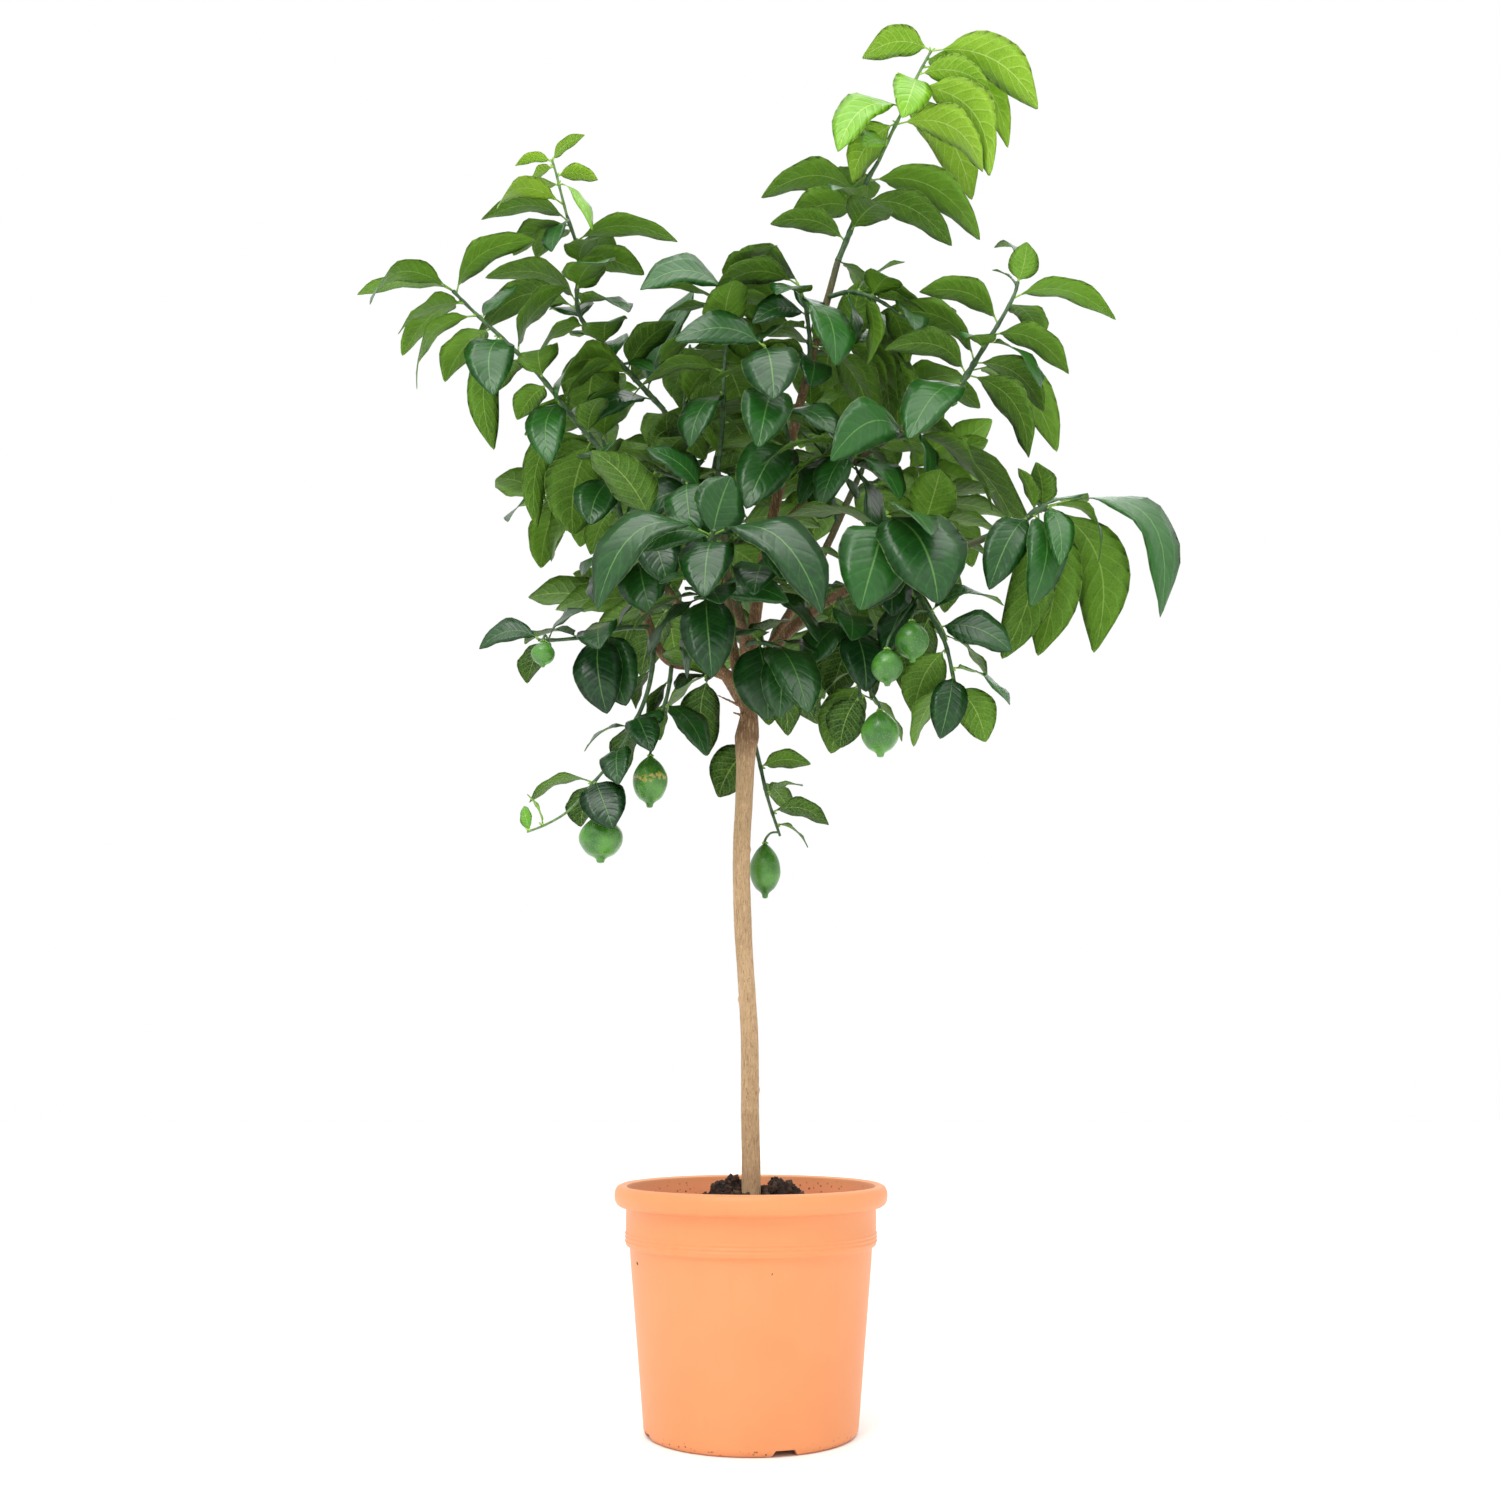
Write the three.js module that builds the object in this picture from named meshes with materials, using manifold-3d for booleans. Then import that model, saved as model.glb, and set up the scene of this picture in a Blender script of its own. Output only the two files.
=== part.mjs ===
// Potted lemon tree: a grafted standard with a round leafy crown, in a nursery pot.
// Millimetres, +Z up, origin on the floor under the middle of the pot.
import * as THREE from 'three';
import { mergeVertices } from 'three/addons/utils/BufferGeometryUtils.js';
import Module from 'manifold-3d';

const wasm = await Module();
wasm.setup();

// ---------------------------------------------------------------- driving dimensions

const GAP = 0.3; // between pieces that touch
const POT = {
  rim: 125, height: 213, wall: 2.4, floor: 2.5, footHeight: 6.5, segments: 32,
  foot: 91, footInner: 86, bodyLow: 96, bodyHigh: 109.5, bodyTop: 147,
  collar: 114.3, collarLow: 162, collarHigh: 194.5, centreFoot: 14,
};
const NOTCH = { count: 4, first: 17.5, wide: 25, narrow: 17, height: 5.4 }; // degrees from the front
const DRAIN = { count: 4, radius: 6, ring: 58 };
const SOIL = { low: 185, rise: 15, spread: 46, segments: 20, roughness: 2.6 };
const LUMPS = [[-20, 6, 14, 12], [33, 4, 13, 12], [8, 18, 9, 10], [-44, 10, 8, 9]]; // x, y, height, spread
const TRUNK = { socket: 120, sides: 8 };
const LIMB_SIDES = 6;
const STEM_SIDES = 4;
const BLADE = {
  outward: 0.35, bend: 0.42, petiole: 0.13, rib: 0.85, fold: 0.16, stalk: 1.5, rootDepth: 0.7,
  stations: [0.3, 0.68],
};
// Room that a new leaf keeps to what is there: to other leaves, and to wood, stems and fruit on top.
const CLEAR = { reach: 5.4, cell: 16, step: 5, nearBase: 15, trunk: 8, limb: 3.5, stem: 2, lemonShare: 0.75 };
const GOLDEN_ANGLE = 2.39996;
const RULE = {
  bare: 0.16, shortest: 0.8, longer: 0.45, narrow: 0.46, wider: 0.1, rise: 0.14, forward: 0.5, droop: 0.45,
  moreDroop: 0.08, turn: 0.9, shrink: 0.03, tries: 9, seed: 20,
};

// The tree was read from a front view. A place in that view is [u, v, depth]: picture units across and
// down, and the depth in mm behind the trunk. The viewer stands this far off and looks slightly up.
const VIEW = { distance: 1456, eye: 323, tilt: 0.201, focal: 1529, centreU: 751, centreV: 750 };

// Trunk axis and its radius at each place, from the soil up to the fork.
const TRUNK_PATH = [
  [751, 1168, 0, 8.8], [750, 1110, 0, 8.5], [750, 1060, 0, 8.4], [749, 1024, 0, 8.3], [746, 976, 0, 8.1],
  [742.5, 916, 0, 8.5], [741.5, 850, 0, 8.3], [744, 800, 0, 8.6], [745.5, 765, 0, 9], [746, 748, 0, 10.6],
  [747, 736, 0, 11.9], [748.5, 724, 0, 10.2], [748.5, 711, 0, 8.3], [742, 694, 0, 7.6],
];
const LIMBS = {
  left: [[748, 708, 0, 7], [729, 677, -6, 6.6], [700, 667, -14, 5.6], [668, 660, -18, 5],
    [643, 606, -10, 4.4], [630, 560, -6, 4], [623, 528, -5, 3.6]],
  leftBack: [[744, 700, 0, 6.5], [733, 650, 22, 5.6], [722, 580, 50, 4.8], [700, 500, 72, 4],
    [664, 410, 60, 3.2]],
  upright: [[733, 648, 23, 4.6], [726, 560, -6, 3.8], [718, 470, -30, 3]],
  leader: [[746, 706, 0, 7.4], [752, 640, 15, 6.6], [768, 540, 30, 5.8], [796, 420, 35, 5],
    [822, 320, 26, 4.2], [838, 261, 20, 3.6]],
  rightUpper: [[768, 540, 30, 4.8], [830, 480, 10, 4.3], [900, 430, -10, 3.7], [959, 388, -20, 3.2]],
  rightLow: [[747, 706, 0, 7], [772, 650, -30, 6], [820, 606, -50, 5], [880, 575, -70, 4.4],
    [950, 552, -74, 3.8], [1023, 522, -70, 3]],
  front: [[746, 704, 0, 6], [744, 640, -55, 5], [732, 588, -110, 4.2], [716, 548, -150, 3.2]],
  backRight: [[747, 704, 0, 6.4], [775, 640, 70, 5.5], [820, 560, 140, 4.5], [862, 470, 190, 3.4]],
  backLeft: [[742, 702, 0, 6], [706, 645, 80, 5], [662, 580, 150, 4.2], [622, 500, 200, 3.2]],
};

// Leafy shoots: the stem's places, its two radii, how many leaves the rule adds and their size, and the
// leaves that were read one by one as [base u, base v, tip u, tip v, tip depth less base depth, width, rise,
// turn to the front].
const SHOOTS = [
  { name: 'shoot_leader', radii: [3.2, 2.2], rule: 3, size: 74,
    stem: [[838, 261, 20], [856, 216, 12], [866, 183, 4], [878, 162, -2]], leaves: [
      [857, 197, 761, 198, 5, 40, 0.26, -15], [868, 184, 980, 240, 0, 44, 0.22, -18],
      [852, 208, 786, 226, 15, 42, 0.22, -12], [862, 205, 952, 246, 22, 40, 0.2, -15],
      [848, 240, 770, 224, -10, 30, 0.2, -15], [838, 258, 872, 318, 40, 46, 0.2, 20]] },
  { name: 'shoot_leader_tip', young: true, radii: [2, 1.2], rule: 1, size: 60,
    stem: [[878.5, 161.4, -2], [893, 130, -12], [903, 110, -20], [915, 81, -30], [931, 51, -40]], leaves: [
      [933, 54, 1038, 109, -30, 44, 0.17, -35], [928, 56, 862, 58, 0, 34, 0.2, -30],
      [915, 83, 902, 118, -45, 38, 0.12, 0], [920, 80, 990, 89, -22, 30, 0.16, -35],
      [926, 66, 960, 71, 25, 20, 0.1, -30], [924, 74, 1008, 148, 8, 34, 0.3, -35],
      [913, 88, 990, 176, 30, 50, 0.22, -30], [897, 124, 983, 172, -4, 40, 0.25, -25],
      [905, 108, 972, 200, 52, 46, 0.2, -25], [904, 108, 838, 152, -22, 44, 0.22, 40],
      [897, 122, 852, 182, 20, 40, 0.15, -30], [889, 140, 862, 146, -18, 24, 0.1, 40]] },
  { name: 'shoot_right_top', radii: [2.8, 1.3], rule: 2, size: 72,
    stem: [[959, 388, -20], [986, 344, -24], [1002, 318, -26], [1015, 293, -28], [1018, 282, -28]], leaves: [
      [1018, 284, 1027, 242, -4, 28, 0.05, 60], [1016, 290, 992, 270, 8, 16, 0.15, 20],
      [1017, 285, 994, 248, 30, 16, 0.15, 0], [1012, 300, 1116, 320, -5, 34, 0.2, -5],
      [998, 325, 919, 292, 10, 36, 0.22, -18], [993, 336, 1069, 374, 8, 36, 0.2, -15],
      [988, 342, 1040, 388, -35, 38, 0.15, 20], [962, 385, 908, 440, -40, 48, 0.15, 10],
      [966, 374, 884, 350, 12, 36, 0.25, -22], [974, 362, 880, 313, 36, 38, 0.22, -18],
      [974, 362, 1044, 412, -12, 36, 0.2, -15], [968, 374, 1029, 458, -4, 42, 0.2, -25],
      [970, 370, 1057, 452, 58, 42, 0.2, -15]] },
  { name: 'shoot_right_spur', radii: [2.6, 1.6], rule: 2, size: 76,
    stem: [[888, 438, -7], [905, 436, -34], [926, 428, -58]], leaves: [
      [926, 429, 993, 512, -50, 60, 0.15, 0], [910, 434, 830, 461, -30, 44, 0.2, 60],
      [924, 430, 1028, 556, 54, 48, 0.15, 0]] },
  { name: 'shoot_right_inner', radii: [2.6, 1.6], rule: 5, size: 78,
    stem: [[845, 470, 6], [852, 456, -50], [842, 446, -92]], leaves: [
      [846, 448, 800, 505, -34, 44, 0.15, 20], [848, 452, 900, 500, -20, 44, 0.16, 20]] },
  { name: 'shoot_right_mid', radii: [2.8, 2], rule: 1, size: 78,
    stem: [[1023, 522, -70], [1036, 511, -74], [1048, 506, -78]], leaves: [
      [1042, 508, 1036, 462, -18, 32, 0.1, 0], [1034, 512, 1018, 468, 10, 20, 0.1, 0],
      [1048, 506, 1160, 618, -45, 56, 0.36, 35], [1046, 507, 1098, 564, -18, 32, 0.34, 0],
      [1046, 507, 1060, 566, -42, 24, 0.12, 0], [1047, 506, 1094, 653, 52, 50, 0.25, 0],
      [1044, 508, 1038, 656, 50, 46, 0.15, 0], [1038, 510, 1002, 659, 28, 40, 0.15, 0],
      [1032, 514, 1030, 607, -26, 38, 0.2, 0], [1028, 518, 989, 590, -30, 36, 0.15, 0]] },
  { name: 'shoot_left_main', radii: [3.2, 1.4], rule: 7, size: 76,
    stem: [[623, 528, -5], [606, 460, -12], [570, 414, -18], [541, 377, -24], [503, 339, -30],
      [474, 312, -35], [453, 291, -40]],
    leaves: [
      [455, 294, 357, 295, 22, 30, 0.12, -3], [457, 295, 370, 305, -10, 34, 0.28, -5],
      [460, 298, 537, 240, 12, 36, 0.2, -20], [481, 318, 417, 390, -25, 36, 0.22, -10],
      [505, 341, 493, 396, -50, 44, 0.15, 0], [484, 321, 518, 285, 15, 24, 0.05, 40],
      [500, 337, 494, 450, 15, 30, 0.12, 0], [548, 384, 517, 420, 24, 30, 0.1, -20],
      [560, 402, 550, 465, -36, 36, 0.15, 0], [590, 438, 573, 535, 30, 56, 0.1, 0],
      [568, 413, 537, 529, 24, 26, 0.16, 0], [610, 476, 590, 525, -30, 40, 0.1, 0]] },
  { name: 'shoot_left_back', radii: [2.9, 1.6], rule: 6, size: 74,
    stem: [[664, 410, 60], [635, 379, 40], [603, 344, 20], [580, 316, 5], [578, 251, 2], [567, 216, -2]],
    leaves: [
      [582, 318, 478, 334, -20, 40, 0.3, -15], [580, 312, 485, 278, 16, 36, 0.22, -15],
      [580, 300, 604, 256, 20, 32, 0.1, -20], [658, 404, 581, 431, -35, 42, 0.2, 62],
      [622, 364, 655, 372, -24, 20, 0.1, 30], [603, 345, 589, 424, 45, 56, 0.12, 0],
      [636, 381, 556, 402, -52, 42, 0.24, -15], [571, 232, 481, 220, 8, 30, 0.2, -8],
      [578, 250, 678, 242, 0, 32, 0.18, -10], [572, 230, 552, 252, -38, 28, 0.1, 10],
      [650, 396, 694, 289, 6, 46, 0.06, 60]] },
  { name: 'shoot_left_tip', young: true, radii: [1.5, 1], rule: 0, size: 40,
    stem: [[566.8, 215.4, -2], [560, 189, -6], [556, 173, -8], [552, 160, -10]], leaves: [
      [553, 163, 585, 135, 5, 15, 0.12, -20], [553, 164, 515, 166, 0, 13, 0.2, -20],
      [554, 168, 529, 190, -16, 17, 0.12, -20], [557, 177, 598, 180, 6, 19, 0.15, -20],
      [559, 184, 592, 231, -20, 25, 0.15, -20], [559, 186, 521, 200, 6, 17, 0.15, -20],
      [564, 204, 497, 209, -24, 25, 0.2, -20]] },
  { name: 'shoot_centre_left', radii: [2.6, 1.4], rule: 5, size: 72,
    stem: [[718, 470, -30], [722, 430, -36], [724, 375, -40], [728, 320, -22], [730, 278, -4]], leaves: [
      [729, 284, 640, 290, -28, 44, 0.26, 62], [728, 306, 648, 289, 24, 28, 0.12, -12],
      [724, 382, 632, 397, -20, 36, 0.2, -15], [723, 400, 690, 448, -40, 38, 0.15, 10]] },
  { name: 'shoot_centre_front', radii: [2.9, 1.4], rule: 3, size: 70,
    stem: [[779, 490, 32], [790, 462, -10], [784, 420, -50], [770, 375, -72], [765, 348, -80]], leaves: [
      [766, 351, 774, 400, -46, 50, 0.12, 0], [772, 388, 758, 448, -50, 44, 0.14, 0],
      [782, 410, 834, 435, -42, 44, 0.16, 20], [788, 455, 746, 509, -52, 50, 0.15, 10],
      [766, 353, 674, 341, -12, 36, 0.18, 60]] },
  { name: 'shoot_centre_top', radii: [2.7, 1.4], rule: 4, size: 72,
    stem: [[806, 385, 32], [810, 350, 0], [806, 310, -22], [799, 286, -30]], leaves: [
      [804, 303, 835, 366, -52, 50, 0.15, 10], [806, 314, 752, 324, -18, 32, 0.2, 55],
      [799, 288, 704, 307, 0, 44, 0.24, -22], [800, 288, 727, 270, 36, 42, 0.2, -20],
      [809, 345, 877, 424, 8, 46, 0.15, 10]] },
  { name: 'shoot_centre_right', radii: [2.7, 1.4], rule: 5, size: 74,
    stem: [[828, 297, 23], [852, 292, -4], [878, 300, -18], [905, 318, -24]], leaves: [
      [858, 293, 905, 262, 40, 36, 0.1, 0], [880, 301, 926, 312, 20, 34, 0.1, 10]] },
  { name: 'shoot_left_inner', radii: [2.6, 1.6], rule: 4, size: 74,
    stem: [[722, 515, -18], [702, 492, -60], [682, 480, -92]], leaves: [
      [684, 481, 622, 535, -40, 46, 0.15, 50], [690, 485, 646, 448, -10, 40, 0.12, 40]] },
  { name: 'shoot_front_big', radii: [2.8, 2], rule: 2, size: 76,
    stem: [[716, 548, -150], [712, 540, -158], [714, 530, -166]], leaves: [
      [713, 534, 597, 611, -40, 52, 0.3, 20], [714, 532, 822, 614, -50, 58, 0.25, 10],
      [713, 540, 731, 476, 14, 46, 0.06, 60], [712, 540, 640, 552, -10, 30, 0.2, 55]] },
  { name: 'shoot_front_low', radii: [2.7, 1.8], rule: 2, size: 70,
    stem: [[734, 596, -104], [712, 596, -124], [695, 598, -138]], leaves: [
      [695, 598, 642, 674, -22, 52, 0.14, 10], [698, 598, 712, 678, -34, 44, 0.12, 0],
      [708, 596, 789, 602, -24, 30, 0.15, 50]] },
  { name: 'shoot_front_right', radii: [2.6, 1.8], rule: 4, size: 66,
    stem: [[745, 645, -50], [760, 642, -78], [786, 650, -96]], leaves: [
      [758, 642, 768, 720, -36, 54, 0.1, 0], [784, 650, 808, 714, -52, 42, 0.1, 0],
      [772, 645, 788, 736, 6, 36, 0.1, 0]] },
  { name: 'shoot_right_front', radii: [3, 1.8], rule: 4, size: 82,
    stem: [[868, 580, -66], [886, 545, -104], [884, 505, -130]], leaves: [
      [884, 503, 938, 604, -50, 72, 0.15, 0], [885, 515, 860, 611, -46, 60, 0.14, 0],
      [885, 540, 960, 560, 0, 40, 0.2, -20]] },
  { name: 'shoot_right_low', radii: [2.9, 1.4], rule: 3, size: 62,
    stem: [[900, 568, -72], [925, 606, -104], [944, 640, -112], [956, 690, -112]], leaves: [
      [940, 632, 1012, 652, -20, 40, 0.15, 55], [943, 640, 988, 682, -26, 42, 0.15, 10],
      [956, 688, 986, 742, 16, 34, 0.1, 0], [953, 678, 940, 739, -16, 30, 0.1, 0],
      [946, 652, 914, 716, -12, 36, 0.12, 0], [932, 616, 1004, 606, 30, 34, 0.2, 10]] },
  { name: 'shoot_right_hang', radii: [2.7, 1.4], rule: 5, size: 64,
    stem: [[838, 597, -56], [852, 630, -78], [858, 668, -84], [860, 700, -84]], leaves: [
      [852, 628, 866, 692, -26, 40, 0.1, 0], [860, 698, 840, 748, 14, 34, 0.1, 0],
      [860, 696, 902, 742, 18, 36, 0.12, 0], [856, 650, 916, 664, 34, 36, 0.2, 0],
      [848, 622, 806, 668, -10, 40, 0.15, 10]] },
  { name: 'shoot_left_low', radii: [2.6, 1.3], rule: 4, size: 58,
    stem: [[652, 627, -13], [622, 628, -36], [590, 636, -52], [556, 640, -62], [538, 640, -66]], leaves: [
      [538, 640, 479, 649, 0, 26, 0.22, 55], [546, 640, 584, 610, -22, 30, 0.14, 30],
      [600, 634, 607, 714, -18, 42, 0.1, 0], [610, 631, 626, 706, -34, 44, 0.1, 0],
      [622, 628, 638, 598, -20, 26, 0.1, 40]] },
  { name: 'shoot_fork_low', radii: [2.4, 1.6], rule: 0, size: 50,
    stem: [[714, 672, -10], [706, 680, -26]], leaves: [
      [707, 679, 707, 756, 16, 38, 0.1, 0], [708, 678, 676, 690, -26, 26, 0.15, 20]] },
  { name: 'shoot_left_fruiting', radii: [2.4, 1.5], rule: 2, size: 50,
    stem: [[672, 662, -17], [668, 692, -34], [662, 714, -40]], leaves: [
      [664, 708, 706, 756, -10, 34, 0.15, 10], [662, 712, 640, 744, -20, 30, 0.12, 0]] },
  { name: 'shoot_left_hang', radii: [2.6, 1.3], rule: 5, size: 50,
    stem: [[655, 634, -14], [648, 690, -44], [630, 732, -56], [609, 764, -60], [590, 787, -62]], leaves: [
      [630, 730, 584, 752, 4, 26, 0.18, 10], [636, 720, 652, 752, -26, 28, 0.1, 0],
      [594, 783, 613, 829, -26, 38, 0.1, 0], [592, 785, 581, 827, 12, 32, 0.1, 0],
      [592, 785, 529, 803, 4, 26, 0.2, -15]] },
  { name: 'shoot_left_hang_tip', young: true, radii: [1.3, 0.9], rule: 0, size: 30,
    stem: [[589.7, 787.4, -62], [567, 812, -66], [545, 825, -68], [527, 832, -68]], leaves: [
      [543, 826, 527, 794, -6, 20, 0.1, 20], [530, 831, 524, 806, 8, 12, 0.1, 20]] },
  { name: 'shoot_trunk_hang', radii: [2.4, 1.3], rule: 0, size: 44,
    stem: [[749, 724, 4], [757, 752, 18], [768, 799, 16], [780, 836, 12]], leaves: [
      [760, 766, 811, 764, -5, 24, 0.15, -15], [767, 792, 803, 786, -20, 26, 0.14, 20],
      [772, 812, 829, 825, 0, 26, 0.2, -20], [776, 824, 808, 848, -12, 24, 0.15, 10],
      [755, 746, 718, 797, 8, 38, 0.15, 0], [764, 782, 790, 812, 16, 24, 0.1, 0]] },
];

// Shoots of the back and the inside of the crown: the start on its limb, the end, and the leaves by the rule.
const BACK = { bow: 0.08, radii: [2.8, 1.3], size: 82 };
const BACK_SHOOTS = [
  ['back_right_high', [862, 470, 190], [915, 372, 210], 8],
  ['back_right_out', [850, 495, 176], [950, 470, 250], 8],
  ['back_right_low', [806, 585, 118], [900, 612, 200], 8],
  ['back_mid_high', [838, 524, 160], [806, 396, 230], 8],
  ['back_left_high', [622, 500, 200], [585, 402, 210], 8],
  ['back_left_out', [630, 515, 190], [545, 500, 200], 7],
  ['back_left_low', [684, 612, 116], [610, 610, 190], 7],
  ['back_left_far', [646, 548, 172], [668, 500, 290], 7],
  ['back_centre_high', [704, 515, 68], [735, 400, 170], 8],
  ['back_centre_far', [716, 560, 58], [750, 520, 210], 7],
  ['back_centre_low', [760, 676, 34], [765, 650, 170], 6],
  ['inner_right', [800, 507, 22], [850, 420, -40], 8],
  ['inner_left', [700, 500, 72], [655, 470, 0], 7],
  ['inner_right_low', [920, 562, -72], [925, 500, 20], 7],
  ['inner_high', [813, 354, 29], [890, 345, 70], 8],
  ['inner_left_high', [682, 455, 66], [690, 345, 80], 7],
  ['front_middle', [737, 604, -96], [795, 545, -150], 6],
  ['front_left', [636, 582, -8], [652, 520, -90], 7],
];

// Green fruit: the shoot that carries it, where its stalk starts, its centre, half width and half height.
const LEMONS = [
  { name: 'lemon_right_a', on: 'shoot_right_low', from: [928, 612, -105], at: [912, 641, -140],
    half: [15, 17] },
  { name: 'lemon_right_b', on: 'shoot_right_low', from: [918, 597, -95], at: [887, 667, -150],
    half: [14, 15] },
  { name: 'lemon_right_low', on: 'shoot_right_hang', from: [859, 682, -84], at: [880, 733, -120],
    half: [17, 19] },
  { name: 'lemon_left_large', on: 'shoot_left_fruiting', from: [662, 713, -40], at: [650, 781, -44],
    half: [16.5, 22] },
  { name: 'lemon_left_low', on: 'shoot_left_hang', from: [591, 786, -62], at: [601, 838, -60],
    half: [20, 20] },
  { name: 'lemon_left_small', on: 'shoot_left_low', from: [548, 640, -64], at: [543, 654, -84],
    half: [11, 11] },
  { name: 'lemon_trunk', on: 'shoot_trunk_hang', from: [779, 832, 12], at: [765, 870, 26], half: [15, 24] },
];
// Half widths and half heights of the fruit, from its stalk down to the nipple.
const LEMON_OUTLINE = [[0, 1.1], [0.25, 1], [0.66, 0.7], [0.97, 0.22], [0.97, -0.22], [0.64, -0.72],
  [0.22, -0.98], [0.15, -1.14], [0, -1.16]];
const LEMON_SEGMENTS = 9;
const STALK = { radius: 1.2, button: 2.4, bend: 4 };

const COLOURS = {
  pot: [0xf4a06c, 0.55], soil: [0x35251c, 0.95], bark: [0xb59a72, 0.85], leaf: [0x3f7a34, 0.42],
  young: [0x8fc63f, 0.45], lemon: [0x4f8a34, 0.5],
};

// ---------------------------------------------------------------- places and directions

const UP = new THREE.Vector3(0, 0, 1);

function place([u, v, depth]) {
  const across = (u - VIEW.centreU) / VIEW.focal;
  const above = (VIEW.centreV - v) / VIEW.focal;
  const reach = (depth + VIEW.distance) / (Math.cos(VIEW.tilt) - above * Math.sin(VIEW.tilt));
  const rise = Math.sin(VIEW.tilt) + above * Math.cos(VIEW.tilt);
  return new THREE.Vector3(across * reach, depth, VIEW.eye + reach * rise);
}

// Seeded random numbers from 0 to 1 (mulberry32).
function seeded(seed) {
  let state = seed >>> 0;
  return () => {
    state = (state + 0x6d2b79f5) >>> 0;
    let mixed = Math.imul(state ^ (state >>> 15), 1 | state);
    mixed = (mixed + Math.imul(mixed ^ (mixed >>> 7), 61 | mixed)) ^ mixed;
    return ((mixed ^ (mixed >>> 14)) >>> 0) / 4294967296;
  };
}

function mix(a, b, t) {
  return a.clone().multiplyScalar(1 - t).addScaledVector(b, t);
}

// Point at a fraction of the length of a polyline, with the direction there.
function along(points, fraction) {
  const lengths = points.slice(1).map((point, i) => point.distanceTo(points[i]));
  let left = fraction * lengths.reduce((sum, length) => sum + length, 0);
  let i = 0;
  while (i < lengths.length - 1 && left > lengths[i]) left -= lengths[i++];
  const heading = points[i + 1].clone().sub(points[i]).normalize();
  return { point: points[i].clone().addScaledVector(heading, left), heading };
}

function nearestOn(points, target) {
  let best = null;
  for (let i = 0; i < points.length - 1; i++) {
    const span = points[i + 1].clone().sub(points[i]);
    const t = Math.min(1, Math.max(0, target.clone().sub(points[i]).dot(span) / span.lengthSq()));
    const point = points[i].clone().addScaledVector(span, t);
    const distance = point.distanceTo(target);
    if (!best || distance < best.distance) best = { point, distance };
  }
  return best.point;
}

// ---------------------------------------------------------------- solids

// Closed skin over rings of points with as many places each. A point that is named twice in a ring stands
// for both places, so a ring can have fewer corners, or be a tip. Both faces of a blade get the same
// diagonals.
function loft(rings) {
  const numbers = new Map();
  const index = [];
  const position = [];
  const number = (point) => {
    if (!numbers.has(point)) {
      numbers.set(point, numbers.size);
      position.push(point.x, point.y, point.z);
    }
    return numbers.get(point);
  };
  const face = (...corners) => {
    const [a, b, c] = corners.map(number);
    if (a !== b && b !== c && c !== a) index.push(a, b, c);
  };
  for (let i = 0; i < rings.length - 1; i++) {
    rings[i].forEach((a, k) => {
      const next = (k + 1) % rings[i].length;
      const [b, c, d] = [rings[i][next], rings[i + 1][next], rings[i + 1][k]];
      face(a, b, k % 2 ? d : c);
      face(k % 2 ? b : a, c, d);
    });
  }
  const [first, last] = [rings[0], rings.at(-1)];
  for (let k = 1; k < first.length - 1; k++) {
    face(first[0], first[k + 1], first[k]);
    face(last[0], last[k], last[k + 1]);
  }
  const geometry = new THREE.BufferGeometry();
  geometry.setAttribute('position', new THREE.Float32BufferAttribute(position, 3));
  geometry.setIndex(index);
  return geometry;
}

function solid(geometry) {
  const bare = geometry.clone();
  bare.deleteAttribute('normal');
  bare.deleteAttribute('uv');
  const merged = mergeVertices(bare, 1e-4);
  const vertProperties = new Float32Array(merged.attributes.position.array);
  const build = (triVerts) => new wasm.Manifold(new wasm.Mesh({ numProp: 3, vertProperties, triVerts }));
  const triVerts = new Uint32Array(merged.index.array);
  const body = build(triVerts);
  if (body.volume() > 0) return body;
  for (let i = 0; i < triVerts.length; i += 3) triVerts.subarray(i, i + 2).reverse();
  return build(triVerts);
}

function fuse(bodies) {
  return bodies.reduce((joined, body) => joined.add(body));
}

// The largest single body, without scraps that a cut left loose.
function mainBody(body) {
  return body.decompose().reduce((best, piece) => (piece.volume() > best.volume() ? piece : best));
}

function meshOf(name, body, [colour, roughness]) {
  const { vertProperties, triVerts } = body.getMesh();
  const geometry = new THREE.BufferGeometry();
  geometry.setAttribute('position', new THREE.Float32BufferAttribute(vertProperties, 3));
  geometry.setIndex(Array.from(triVerts));
  geometry.computeVertexNormals();
  const material = new THREE.MeshStandardMaterial({ color: colour, roughness, metalness: 0 });
  const mesh = new THREE.Mesh(geometry, material);
  mesh.name = name;
  return mesh;
}

// Tapered round tube through points; extra adds to every radius and to the far end.
function taperedTube(points, radii, sides, extra = 0) {
  let across = Math.abs(points[1].clone().sub(points[0]).normalize().x) < 0.8
    ? new THREE.Vector3(1, 0, 0) : new THREE.Vector3(0, 1, 0);
  const rings = points.map((point, i) => {
    const heading = (points[i + 1] ?? point).clone().sub(points[i - 1] ?? point).normalize();
    across = across.clone().addScaledVector(heading, -across.dot(heading)).normalize();
    const second = heading.clone().cross(across);
    const centre = i === points.length - 1 ? point.clone().addScaledVector(heading, extra) : point;
    return Array.from({ length: sides }, (_, k) => {
      const angle = (k / sides) * Math.PI * 2;
      return centre.clone().addScaledVector(across, Math.cos(angle) * (radii[i] + extra))
        .addScaledVector(second, Math.sin(angle) * (radii[i] + extra));
    });
  });
  return solid(loft(rings));
}

// ---------------------------------------------------------------- leaves

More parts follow.
